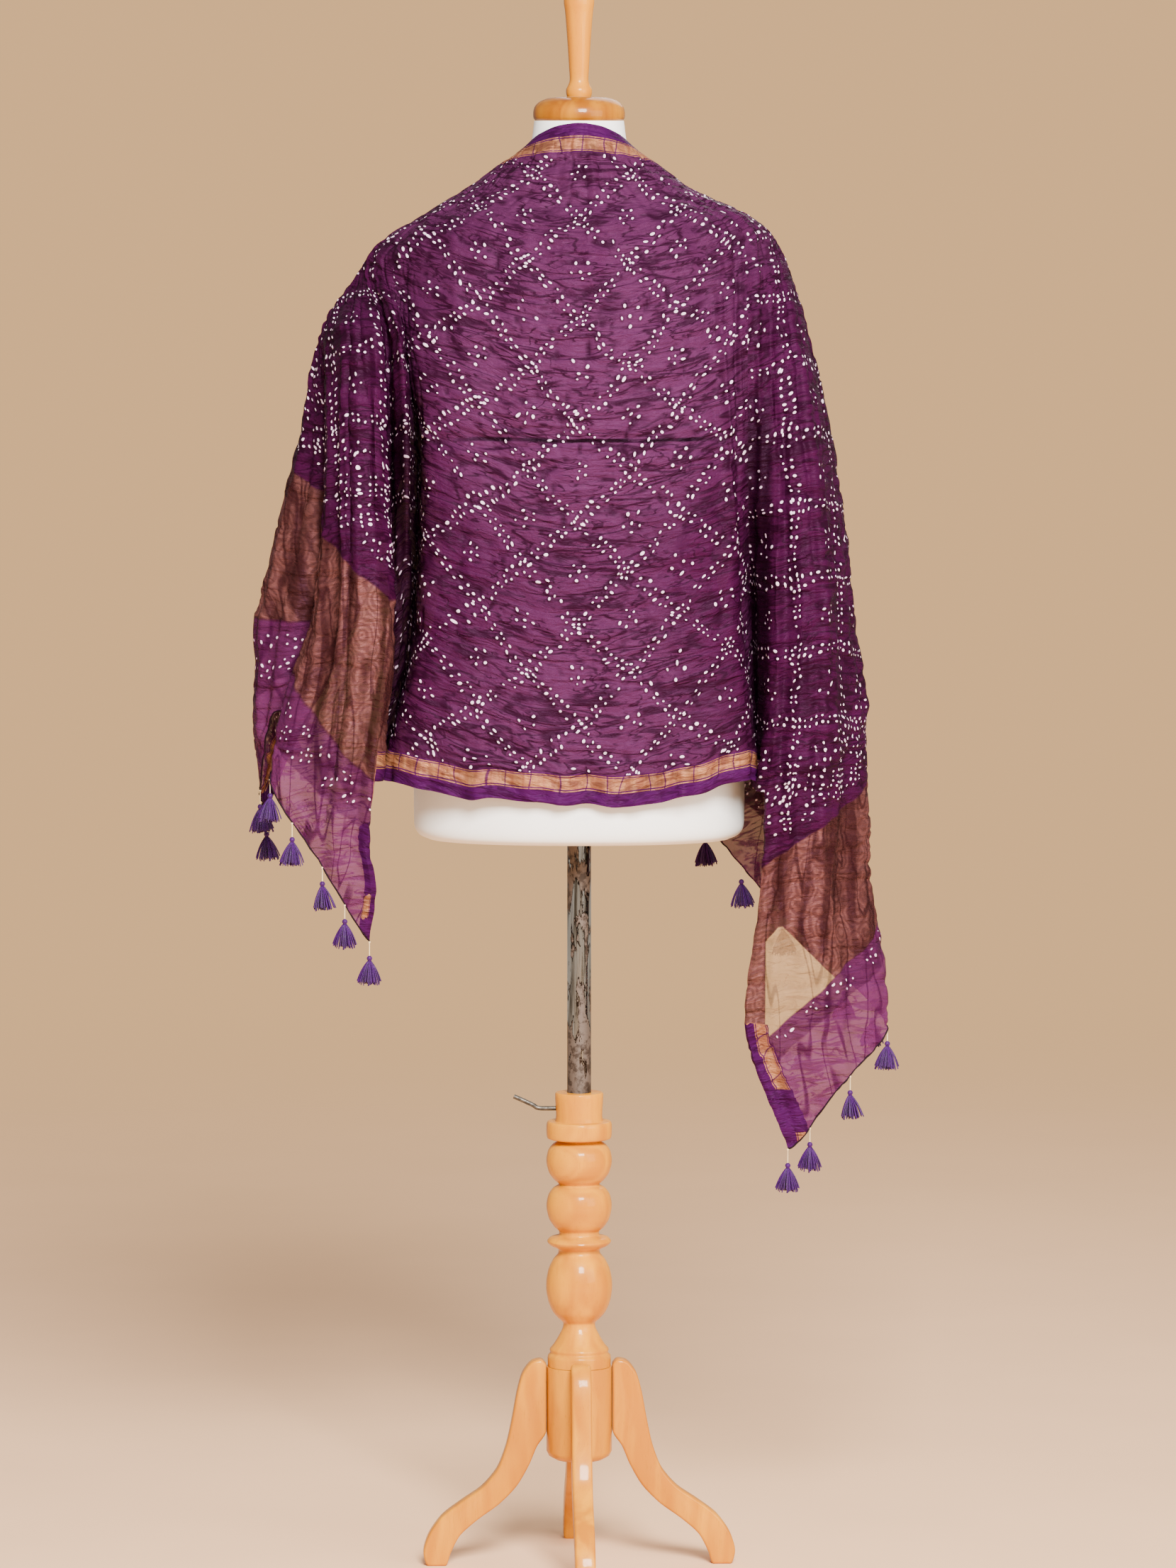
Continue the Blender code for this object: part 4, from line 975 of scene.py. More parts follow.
def tassel_thread():
    """Violet silk thread with a soft shine along the strands."""
    found = bpy.data.materials.get("tassel silk")
    if found:
        return found
    settings = bpy.context.scene.stole_tassels
    made, tree, shader = new_shader("tassel silk")
    place = on_object(tree)
    strand = place.noise((1500.0, 1500.0, 120.0), 2.0)
    shade = strand.ease(0.3, 0.7).blend(settings.violet_deep, settings.violet)
    shader["Base Color"] = shade
    shader["Roughness"] = strand.ease(0.3, 0.7, 0.38, 0.6)
    shader["Sheen Weight"] = 0.05
    shader["Specular IOR Level"] = 0.2
    shader["Normal"] = strand.bump(0.0002, 0.6)
    return made


def hanging_cord():
    """Cream twisted cord with its small white knot."""
    found = bpy.data.materials.get("cream cord")
    if found:
        return found
    settings = bpy.context.scene.stole_tassels
    made, tree, shader = new_shader("cream cord")
    place = on_object(tree)
    twist = add(tree, "ShaderNodeTexWave", {"Vector": place, "Scale": 420.0, "Distortion": 1.0},
                bands_direction="DIAGONAL")
    shade = twist.blend(settings.cord, dimmed(settings.cord, 0.6))
    shader["Base Color"] = shade
    shader["Roughness"] = 0.6
    shader["Normal"] = twist.bump(0.0002, 0.6)
    return made


def form_skin():
    """White stretched jersey over the form, with a faint knit and small unevenness."""
    settings = bpy.context.scene.stole_form
    made, tree, shader = new_shader("form skin")
    place = on_object(tree)
    cloudy = place.noise(7.0, 3.0)
    # Darker and warmer towards the lower edge.
    toward_lower_edge = place.part(2).ease(0.8, 0.765)
    shade = cloudy.ease(0.35, 0.75).blend(settings.skin, dimmed(settings.skin, 0.93))
    shade = (toward_lower_edge * 0.25).blend(shade, [settings.skin[0] * 0.86, settings.skin[1] * 0.82,
                                        settings.skin[2] * 0.74])
    shader["Base Color"] = shade
    knit = add(tree, "ShaderNodeTexWave", {"Vector": place, "Scale": 380.0, "Distortion": 1.5},
               bands_direction="Z")
    shader["Roughness"] = cloudy.ease(0.3, 0.7, 0.42, 0.55)
    shader["Sheen Weight"] = 0.15
    normal = knit.bump(0.00008, 0.35)
    shader["Normal"] = cloudy.bump(0.0015, 0.4, normal)
    return made


def varnished_wood(name, light, dark):
    """Turned beech under clear varnish, its grain running up the piece."""
    made, tree, shader = new_shader(name)
    place = on_object(tree)
    bent = add(tree, "ShaderNodeTexNoise", {"Vector": place, "Scale": 9.0, "Detail": 2.0}, 1)
    bent = place.vector("ADD", bent.vector("MULTIPLY", (0.03, 0.03, 0.0)))
    grain = bent.noise((95.0, 95.0, 7.0), 5.0, 0.6, 0.6)
    rings = bent.noise((26.0, 26.0, 2.2), 2.0, 0.5, 1.2)
    flecks = place.noise((900.0, 900.0, 70.0), 2.0, 0.7)
    shade = rings.ease(0.35, 0.68).blend(light, dark)
    shade = grain.ease(0.45, 0.75, 0.0, 0.55).blend(shade, dark)
    shade = flecks.ease(0.58, 0.78, 0.0, 0.35).blend(shade, dimmed(dark, 0.45))
    shader["Base Color"] = shade
    shader["Roughness"] = grain.ease(0.3, 0.7, 0.28, 0.42)
    shader["Coat Weight"] = 0.22
    shader["Specular IOR Level"] = 0.08
    shader["Coat Roughness"] = 0.07
    normal = flecks.bump(0.0001, 0.3)
    shader["Normal"] = rings.bump(0.0006, 0.3, normal)
    return made


def worn_plate():
    """Plated steel tube, scratched along its length and worn through in patches, with dark streaks painted along
    it as reflections.
    """
    settings = bpy.context.scene.stole_stand
    made, tree, shader = new_shader("worn plate")
    place = on_object(tree)
    streaks_and_dark_reflections = place.noise((260.0, 260.0, 9.0), 4.0, 0.6)
    worn = place.noise((84.0, 84.0, 21.0), 6.0, 0.62)
    worn += place.part(2).ease(0.6, 0.53, 0.0, 0.16)
    flaked = worn.ease(0.53, 0.545)
    rusted = place.noise(90.0, 5.0, 0.7).ease(0.46, 0.58)
    # Painted reflection: the plating darkens in streaks along the pole.
    shade = streaks_and_dark_reflections.ease(0.4, 0.62).blend(settings.plate, settings.plate_dark_reflection)
    shade = worn.ease(0.5, 0.52).blend(shade, settings.rust)
    under = rusted.blend(settings.worn_steel, settings.rust)
    shader["Base Color"] = flaked.blend(shade, under)
    shader["Metallic"] = flaked.ease(0.0, 1.0, 1.0, 0.35)
    shader["Roughness"] = streaks_and_dark_reflections.ease(0.3, 0.8, 0.1, 0.24) + flaked * 0.4
    normal = flaked.bump(0.0002, -0.5)
    shader["Normal"] = streaks_and_dark_reflections.bump(0.0001, 0.25, normal)
    return made


def dull_steel():
    """Bare steel of the clamp screw, handled dull."""
    screw = bpy.context.scene.stole_stand.screw
    made, tree, shader = new_shader("dull steel")
    place = on_object(tree)
    handled = place.noise(300.0, 3.0, 0.6)
    shader["Base Color"] = handled.ease(0.35, 0.65).blend(screw, dimmed(screw, 0.45))
    shader["Roughness"] = handled.ease(0.3, 0.7, 0.4, 0.55)
    shader["Metallic"] = 0.8
    return made


def ring_stack(rings, closed=False):
    """A bmesh skinned over rings of equal count, capped at both ends or closed on itself."""
    bm = bmesh.new()
    loops = [[bm.verts.new(point) for point in ring] for ring in rings]
    pairs = list(zip(loops, loops[1:]))
    if closed:
        pairs.append((loops[-1], loops[0]))
    for lower, upper in pairs:
        for this in range(len(lower)):
            after = (this + 1) % len(lower)
            bm.faces.new((lower[this], lower[after], upper[after], upper[this]))
    if not closed:
        bm.faces.new(loops[0])
        bm.faces.new(loops[-1])
    return bm


def circle(radius, height, sides=TURNED_SIDES):
    """A level ring of points round the pole's axis."""
    step = 2 * math.pi / sides
    return [(radius * math.cos(step * n), radius * math.sin(step * n), height) for n in range(sides)]


def rounded(points, steps, closed=False):
    """A smooth chain through points, rounded at each."""
    chain = np.array(points, float)
    count = len(chain)
    made = []
    for number in range(count if closed else count - 1):
        near = [number - 1, number, number + 1, number + 2]
        near = [k % count if closed else max(0, min(k, count - 1)) for k in near]
        a, b, c, d = chain[near]
        spans = [max(float(np.linalg.norm(q - p)), 1e-6) ** 0.5 for p, q in ((a, b), (b, c), (c, d))]
        into = ((b - a) / spans[0] * spans[1] + (c - b) / spans[1] * spans[0]) / (spans[0] + spans[1])
        out = ((c - b) / spans[1] * spans[2] + (d - c) / spans[2] * spans[1]) / (spans[1] + spans[2])
        if near[0] == near[1]:
            into = (c - b) / spans[1]
        if near[3] == near[2]:
            out = (c - b) / spans[1]
        for step in range(steps):
            made.append(hermite(b, c, into * spans[1] * 0.8, out * spans[1] * 0.8, step / steps))
    if not closed:
        made.append(chain[-1])
    return np.array(made)


def mesh_of(name, bm, smooth_deg=35):
    """A bmesh in millimetres as a smooth mesh in metres, its faces pointing outwards."""
    bmesh.ops.recalc_face_normals(bm, faces=bm.faces)
    bmesh.ops.scale(bm, vec=Vector((MM, MM, MM)), verts=bm.verts)
    mesh = bpy.data.meshes.new(name)
    bm.to_mesh(mesh)
    bm.free()
    mesh.shade_smooth()
    mesh.set_sharp_from_angle(angle=math.radians(smooth_deg))
    return mesh


def show(thing):
    """Puts an object in the scene."""
    bpy.context.scene.collection.objects.link(thing)


def baked(name, host):
    """The plain mesh that an object comes to. The object is taken away."""
    show(host)
    made = bpy.data.meshes.new_from_object(host.evaluated_get(bpy.context.evaluated_depsgraph_get()))
    source = host.data
    bpy.data.objects.remove(host)
    if isinstance(source, bpy.types.Mesh):
        bpy.data.meshes.remove(source)
    made.name = name
    return made


def settled(name, mesh, modifiers):
    """A mesh with modifiers worked into it, from a list of kind and settings."""
    host = bpy.data.objects.new(name, mesh)
    for kind, settings in modifiers:
        modifier = host.modifiers.new(kind.lower(), kind)
        for key, value in settings.items():
            setattr(modifier, key, value)
    return baked(name, host)


def superoval(half_width, front, back, height):
    """A level ring with its own depth in front and behind."""
    ring = []
    for number in range(TORSO_SIDES):
        angle = 2 * math.pi * number / TORSO_SIDES
        across, along = math.cos(angle), math.sin(angle)
        depth = back if along > 0 else front
        x = half_width * math.copysign(abs(across) ** (2 / TORSO_POWER), across)
        y = depth * math.copysign(abs(along) ** (2 / TORSO_POWER), along)
        ring.append((x, y, height))
    return ring


def bar(points, radius, sides):
    """A round bar bent through points in the plane y = 0."""
    rings = []
    for number, point in enumerate(points):
        before = Vector(points[max(number - 1, 0)])
        after = Vector(points[min(number + 1, len(points) - 1)])
        along = (after - before).normalized()
        side = Vector((0, 1, 0))
        up = along.cross(side)
        rings.append([Vector(point) + (side * math.cos(a) + up * math.sin(a)) * radius
                      for a in (2 * math.pi * step / sides for step in range(sides))])
    return ring_stack(rings)


def make_torso():
    """The form's smooth body with its pole socket."""
    sections = np.array(TORSO_SECTIONS)
    slopes = monotone_slopes(sections)
    rings = []
    for number in range(len(sections) - 1):
        for step in range(4):
            height, width, front, back = hermite(sections[number], sections[number + 1], slopes[number],
                                                 slopes[number + 1], step / 4)
            rings.append(superoval(width, front, back, height))
    height, width, front, back = sections[-1]
    rings.append(superoval(width, front, back, height))
    rings.reverse()
    rings += [circle(BORE_RADIUS, z, TORSO_SIDES) for z in (FORM_BOTTOM_Z, POLE_TOP_Z + RUNNING_GAP)]
    put("form_torso", mesh_of("form_torso", ring_stack(rings), 50), "form", "form_skin", ["torso"],
        form_skin())


def lathe(name, profile, body, nodes, material, slot="turned_wood"):
    """A turned piece from its profile."""
    chain = rounded(profile, 4)
    mesh = mesh_of(name, ring_stack([circle(radius, z) for radius, z in chain]))
    return put(name, mesh, body, slot, nodes, material)


def make_column(material):
    """The turned column, bored for the pole and cross-bored for the clamp screw."""
    rings = [circle(radius, z) for radius, z in rounded(COLUMN_PROFILE, 4)]
    rings += [circle(BORE_RADIUS, COLUMN_TOP_Z), circle(BORE_RADIUS, COLUMN_BOTTOM_Z)]
    hole = bar([(-8.0, 0, CLAMP_Z), (-40.0, 0, CLAMP_Z)], CLAMP_ROD_RADIUS + CLAMP_HOLE_GAP, 24)
    cutter = bpy.data.objects.new("clamp hole", mesh_of("clamp hole", hole))
    show(cutter)
    mesh = settled("stand_column", mesh_of("stand_column", ring_stack(rings, closed=True)),
                   [("BOOLEAN", {"operation": "DIFFERENCE", "solver": "EXACT", "object": cutter})])
    bpy.data.objects.remove(cutter)
    mesh.set_sharp_from_angle(angle=math.radians(35))
    put("stand_column", mesh, "stand", "turned_wood", ["column"], material)


def make_hub(material):
    """The round hub under the column, with its blind bore."""
    rings = [circle(radius, z) for radius, z in HUB_PROFILE]
    rings += [circle(BORE_RADIUS, HUB_PROFILE[-1][1]), circle(BORE_RADIUS, HUB_BORE_FLOOR_Z)]
    put("stand_hub", mesh_of("stand_hub", ring_stack(rings)), "stand", "turned_wood", ["hub"], material)


def make_leg(number, material):
    """A sawn leg with eased edges, set against the hub."""
    outline = rounded(LEG_OUTLINE, 4, closed=True)
    outline[:, 0] = np.maximum(outline[:, 0], LEG_OUTLINE[0][0])
    outline[:, 1] = np.maximum(outline[:, 1], 0.0)
    bm = ring_stack([[(reach, side, z) for reach, z in outline] for side in (-LEG_THICK / 2, LEG_THICK / 2)])
    angle = math.radians(LEG_TURN_DEG + 90.0 * number)
    bmesh.ops.rotate(bm, cent=Vector(), matrix=Matrix.Rotation(angle, 3, "Z"), verts=bm.verts)
    bmesh.ops.remove_doubles(bm, verts=bm.verts, dist=0.05)
    name = f"stand_leg_{number + 1}"
    eased_edges = {"width": 3.0 * MM, "segments": 3, "limit_method": "ANGLE",
                   "angle_limit": math.radians(60), "harden_normals": False}
    mesh = settled(name, mesh_of(name, bm), [("BEVEL", eased_edges)])
    mesh.set_sharp_from_angle(angle=math.radians(50))
    put(name, mesh, "stand", "turned_wood", [f"leg_{number + 1}"], material)


def make_clamp(material):
    """The clamp screw with its bent handle."""
    chain = rounded([(x, 0.0, CLAMP_Z + rise) for x, rise in CLAMP_BENDS], 5)
    mesh = mesh_of("clamp_handle", bar([tuple(p) for p in chain], CLAMP_ROD_RADIUS, 20), 50)
    put("clamp_handle", mesh, "clamp", "pole_steel", ["clamp_screw"], material)


def end_edge(side):
    """Lines and points along one end edge of the cloth, in millimetres."""
    first, last, last_row = STRETCHES[f"stole_{side}"][:3]
    line, _, points = cloth_grid(first, last, last_row, first)[:3]
    return line[0], points[-1]


def rolled_edge(side):
    """The rolled hem along an end edge, as a thin closed tube."""
    line, points = end_edge(side)
    low, high = ROLLED[side]
    chain = points[(line >= low) & (line <= high)]
    name = f"end_roll_{side}"
    curve = bpy.data.curves.new(name, "CURVE")
    curve.dimensions = "3D"
    curve.bevel_depth = ROLL_RADIUS * MM
    curve.bevel_resolution = 2
    curve.use_fill_caps = True
    spline = curve.splines.new("POLY")
    spline.points.add(len(chain) - 1)
    for number, point in enumerate(chain):
        spline.points[number].co = (*(point * MM), 1.0)
        spline.points[number].radius = 1.0 + 0.16 * math.sin(number * 1.9) + 0.1 * math.sin(number * 0.7)
    mesh = baked(name, bpy.data.objects.new(name, curve))
    mesh.shade_smooth()
    put(name, mesh, "form", "bandhani", (), rolled_silk())


def lathed_at(tops, profile, sides):
    """The same small turned shape hung from every point: profile of radius and drop."""
    bm = bmesh.new()
    for top in tops:
        rings = [circle(radius, -drop, sides) for radius, drop in profile]
        loops = [[bm.verts.new(Vector(point) + Vector(top)) for point in ring] for ring in rings]
        for upper, lower in zip(loops, loops[1:]):
            for this in range(sides):
                after = (this + 1) % sides
                bm.faces.new((upper[this], lower[this], lower[after], upper[after]))
        bm.faces.new(loops[0])
        bm.faces.new(loops[-1])
    return bm


def skirt_tree(material):
    """A node tree that hangs a flared skirt of strands from every point."""
    tree = bpy.data.node_groups.new("tassel skirts", "GeometryNodeTree")
    tree.interface.new_socket("Geometry", in_out="INPUT", socket_type="NodeSocketGeometry")
    for name in ("Strands", "Seed"):
        tree.interface.new_socket(name, in_out="INPUT", socket_type="NodeSocketInt")
    for name in ("Neck Radius", "Flare", "Length", "Thread Radius"):
        tree.interface.new_socket(name, in_out="INPUT", socket_type="NodeSocketFloat")
    tree.interface.new_socket("Geometry", in_out="OUTPUT", socket_type="NodeSocketGeometry")
    given = {socket.name: Value(tree, socket) for socket in tree.nodes.new("NodeGroupInput").outputs}
    roots = add(tree, "GeometryNodeMeshCircle",
                {"Vertices": given["Strands"], "Radius": given["Neck Radius"]})
    middle = join(tree, given["Flare"] * 0.62, 0.0, given["Length"] * -0.38)
    end = join(tree, given["Flare"], 0.0, given["Length"] * -1.0)
    strand = add(tree, "GeometryNodeCurveQuadraticBezier",
                 {"Resolution": 5, "Start": (0.0, 0.0, 0.0), "Middle": middle, "End": end})
    section = add(tree, "GeometryNodeCurvePrimitiveCircle",
                  {"Resolution": 3, "Radius": given["Thread Radius"]})
    thread = add(tree, "GeometryNodeCurveToMesh",
                 {"Curve": strand, "Profile Curve": section, "Fill Caps": True})
    facing = add(tree, "FunctionNodeAlignRotationToVector",
                 {"Vector": add(tree, "GeometryNodeInputPosition")}, axis="X", pivot_axis="Z")
    uneven = add(tree, "FunctionNodeRandomValue",
                 {0: (0.05, 1.0, 0.86), 1: (1.15, 1.0, 1.06), "Seed": given["Seed"]},
                 data_type="FLOAT_VECTOR")
    skirt = add(tree, "GeometryNodeInstanceOnPoints",
                {"Points": roots, "Instance": thread, "Rotation": facing, "Scale": uneven})
    turned = add(tree, "FunctionNodeRandomValue",
                 {0: (-0.10, -0.10, -3.1), 1: (0.10, 0.10, 3.1), "Seed": given["Seed"]},
                 data_type="FLOAT_VECTOR")
    hung = add(tree, "GeometryNodeInstanceOnPoints",
               {"Points": given["Geometry"], "Instance": skirt,
                "Rotation": add(tree, "FunctionNodeEulerToRotation", {"Euler": turned})})
    real = add(tree, "GeometryNodeRealizeInstances", {"Geometry": hung})
    coloured = add(tree, "GeometryNodeSetMaterial", {"Geometry": real, "Material": material})
    feed(tree, tree.nodes.new("NodeGroupOutput").inputs["Geometry"], coloured)
    return tree


def grown(name, points, tree, sizes):
    """A plain mesh grown on points, in millimetres, by a node tree with the given sizes."""
    seeds = bpy.data.meshes.new(name)
    seeds.from_pydata([tuple(point * MM) for point in points], [], [])
    host = bpy.data.objects.new(name, seeds)
    modifier = host.modifiers.new(name, "NODES")
    modifier.node_group = tree
    for item in tree.interface.items_tree:
        if item.in_out == "INPUT" and item.name in sizes:
            modifier[item.identifier] = sizes[item.name]
    mesh = baked(name, host)
    mesh.shade_smooth()
    return mesh


def hang_tassels(side):
    """The tassels of one end: knots and cords, bound heads and their skirts."""
    settings = bpy.context.scene.stole_tassels
    line, points = end_edge(side)
    columns = [int(np.argmin(np.abs(line - place))) for place in TASSEL_PLACES[side]]
    tops = points[columns] - np.array([0.0, 0.0, 0.9])
    nodes = [f"tassel_{side}_{number}" for number in range(1, len(tops) + 1)]
    cords = mesh_of(f"tassel_cords_{side}", lathed_at(tops, CORD_PROFILE, 10))
    put(cords.name, cords, "form", "tassel_thread", (), hanging_cord())
    heads = mesh_of(f"tassel_heads_{side}", lathed_at(tops, HEAD_PROFILE, 16), 60)
    put(heads.name, heads, "form", "tassel_thread", nodes, tassel_thread())
    sizes = {"Strands": settings.strands, "Seed": SKIRT_SEED, "Neck Radius": SKIRT_NECK_RADIUS * MM,
             "Flare": settings.flare, "Length": SKIRT_LENGTH * MM, "Thread Radius": STRAND_RADIUS * MM}
    tree = skirt_tree(tassel_thread())
    skirts = grown(f"tassel_skirts_{side}", tops - np.array([0.0, 0.0, SKIRT_DROP]), tree, sizes)
    put(skirts.name, skirts, "form", "tassel_thread")


def colour(name, description, default):
    """A colour property."""
    return FloatVectorProperty(name=name, description=description, subtype="COLOR", size=3, min=0.0, max=1.0,
                               default=default)


def length(name, description, default, low, high):
    """A length property."""
    return FloatProperty(name=name, description=description, unit="LENGTH", default=default, min=low,
                         max=high, precision=4)


class StoleSettings(bpy.types.PropertyGroup):
    """The stole's cloth, dye and metal thread."""
    cloth_thick: length("Cloth thickness", "Thickness of the thin shell", 0.0006, 0.0002, 0.0012)
    crinkle: length("Crinkle height", "How high the tied crinkles stand", 0.0024, 0.0, 0.004)
    lattice_cell: length("Lattice cell", "Side of one tied diamond", 0.074, 0.03, 0.15)
    dot_step: length("Dot spacing", "From dot to dot along a tied line", 0.0086, 0.004, 0.02)
    dot_radius: length("Dot radius", "Radius of an undyed dot", 0.00132, 0.0005, 0.004)
    cover: FloatProperty(name="Cover", description="How much one face of the cloth hides", subtype="FACTOR",
                         default=0.90, min=0.1, max=1.0)
    end_sheerness: FloatProperty(name="End sheerness", subtype="FACTOR", default=0.30, min=0.0, max=0.8,
                                 description="How much less one face of the end bands hides")
    purple: colour("Purple", "Dyed ground where the cloth is doubled", (0.035, 0.0024, 0.0245))
    # Deep purple: the cloth's own dark tone, also the painted shade of creases, folds and tucks.
    purple_deep_and_shade: colour("Deep purple", "Dyed ground in the folds", (0.010, 0.0006, 0.006))
    # Mauve, painted light: the purple lightened as if the white form showed through it.
    purple_lit_by_form: colour("Mauve", "Dyed ground with the form showing through", (0.061, 0.0130, 0.047))
    border_purple: colour("Border purple", "Plain woven edge", (0.036, 0.0022, 0.040))
    dot_white: colour("Dots", "Undyed dots", (0.72, 0.54, 0.66))
    gold: colour("Gold", "Metal thread of the borders", (0.28, 0.118, 0.055))
    gold_deep: colour("Deep gold", "Shaded metal thread", (0.15, 0.042, 0.024))
    zari_ground: colour("Zari ground", "Copper-brown ground of the ends", (0.018, 0.0038, 0.0044))
    end_mauve: colour("End mauve", "Sheer dyed ground of the end bands", (0.120, 0.022, 0.085))
    organza: colour("Organza", "Bare see-through cloth", (0.34, 0.20, 0.10))
    zari_thread: colour("Zari thread", "Metal thread of the ends", (0.138, 0.050, 0.046))


class TasselSettings(bpy.types.PropertyGroup):
    """The tassels on the two end edges."""
    strands: IntProperty(name="Strands", description="Strands in one tassel", default=110, min=8, max=160)
    flare: length("Flare", "How far the outer strands spread", 0.0096, 0.001, 0.014)
    violet: colour("Violet", "Tassel silk", (0.050, 0.0018, 0.100))
    violet_deep: colour("Deep violet", "Tassel silk in its own shade", (0.020, 0.0008, 0.040))
    cord: colour("Cord", "Cream cord", (0.78, 0.60, 0.34))


class FormSettings(bpy.types.PropertyGroup):
    """The dress form."""
    skin: colour("Skin", "Jersey over the form", (0.90, 0.89, 0.87))
    cap_light: colour("Cap", "Varnished neck cap", (0.40, 0.150, 0.001))
    cap_dark: colour("Cap grain", "Darker grain of the neck cap", (0.20, 0.050, 0.001))


class StandSettings(bpy.types.PropertyGroup):
    """The turned stand and its pole."""
    wood_light: colour("Beech", "Varnished beech", (0.63, 0.250, 0.001))
    wood_dark: colour("Beech grain", "Darker grain of the beech", (0.46, 0.150, 0.001))
    plate: colour("Plating", "Bright plated steel", (0.62, 0.60, 0.55))
    # Dark plating: a painted reflection of dark surroundings, laid on in streaks.
    plate_dark_reflection: colour("Dull plating", "Streaked plated steel", (0.10, 0.09, 0.07))
    worn_steel: colour("Worn steel", "Where the plating is gone", (0.095, 0.070, 0.056))
    rust: colour("Rust", "Rusty spots", (0.030, 0.018, 0.012))
    screw: colour("Screw", "Bare steel of the clamp screw", (0.10, 0.088, 0.075))


class StageSettings(bpy.types.PropertyGroup):
    """The floor and the soft light."""
    floor: colour("Floor", "Plain pale floor", (0.86, 0.52, 0.29))
    backdrop: colour("Backdrop", "Plain tone seen behind the part", (1.0, 0.58, 0.26))
    room: colour("Room", "Soft light from all round", (0.52, 0.47, 0.42))
    light: FloatProperty(name="Light", description="Strength of the soft lights", default=1.0, min=0.0,
                         max=5.0)


class STOLE_OT_front(bpy.types.Operator):
    """Drape the panel that lies across the form"""
    bl_idname = "stole.drape_front"
    bl_label = "Drape Front"

    def execute(self, context):
        panel = drape("stole_front", ["cloth_front"])
        return {"FINISHED"}


class STOLE_OT_left(bpy.types.Operator):
    """Drape the pleats and the fall over the left shoulder"""
    bl_idname = "stole.drape_left"
    bl_label = "Drape Left Side"

    def execute(self, context):
        nodes = ["cloth_left_pleat"] + [f"{part}_left_{layer}" for part in ("cloth", "pallu", "end")
                                        for layer in ("fall", "outer", "back")]
        side = drape("stole_left", nodes)
        return {"FINISHED"}


class STOLE_OT_right(bpy.types.Operator):
    """Drape the pleat and the long fall over the right shoulder"""
    bl_idname = "stole.drape_right"
    bl_label = "Drape Right Side"

    def execute(self, context):
        nodes = ["cloth_right_pleat"] + [f"{part}_right_{layer}" for part in ("cloth", "pallu", "end")
                                         for layer in ("fall", "back")]
        side = drape("stole_right", nodes)
        return {"FINISHED"}


class STOLE_OT_edges(bpy.types.Operator):
    """Roll the two end edges"""
    bl_idname = "stole.roll_edges"
    bl_label = "Roll End Edges"

    def execute(self, context):
        rolled_edge("left")
        rolled_edge("right")
        return {"FINISHED"}


class STOLE_OT_tassels(bpy.types.Operator):
    """Hang the tassels along both end edges"""
    bl_idname = "stole.hang_tassels"
    bl_label = "Hang Tassels"

    def execute(self, context):
        hang_tassels("left")
        hang_tassels("right")
        return {"FINISHED"}


class STOLE_OT_form(bpy.types.Operator):
    """Make the dress form's body"""
    bl_idname = "stole.make_form"
    bl_label = "Make Dress Form"

    def execute(self, context):
        make_torso()
        return {"FINISHED"}


class STOLE_OT_cap(bpy.types.Operator):
    """Turn the neck cap and its finial"""
    bl_idname = "stole.turn_cap"
    bl_label = "Turn Neck Cap and Finial"

    def execute(self, context):
        settings = context.scene.stole_form
        stand = context.scene.stole_stand
        wood = varnished_wood("cap wood", settings.cap_light, settings.cap_dark)
        lathe("form_neck_cap", CAP_PROFILE, "form", ["neck_cap"], wood)
        wood = varnished_wood("finial wood", stand.wood_light, stand.wood_dark)
        lathe("form_finial", FINIAL_PROFILE, "form", ["finial"], wood)
        return {"FINISHED"}


class STOLE_OT_stand(bpy.types.Operator):
    """Turn the column and hub and saw the four legs"""
    bl_idname = "stole.make_stand"
    bl_label = "Make Wooden Stand"

    def execute(self, context):
        settings = context.scene.stole_stand
        wood = varnished_wood("stand wood", settings.wood_light, settings.wood_dark)
        make_column(wood)
        make_hub(wood)
        for number in range(4):
            make_leg(number, wood)
        return {"FINISHED"}


class STOLE_OT_pole(bpy.types.Operator):
    """Make the sliding pole and its clamp screw"""
    bl_idname = "stole.make_pole"
    bl_label = "Make Pole and Clamp"

    def execute(self, context):
        plate = worn_plate()
        ends = ((0.8, POLE_BOTTOM_Z), (0.0, POLE_BOTTOM_Z + 0.8), (0.0, POLE_TOP_Z - 0.8), (0.8, POLE_TOP_Z))
        rings = [circle(POLE_RADIUS - cut, z, 64) for cut, z in ends]
        put("sliding_pole", mesh_of("sliding_pole", ring_stack(rings)), "pole", "pole_steel", ["pole"], plate)
        make_clamp(dull_steel())
        return {"FINISHED"}


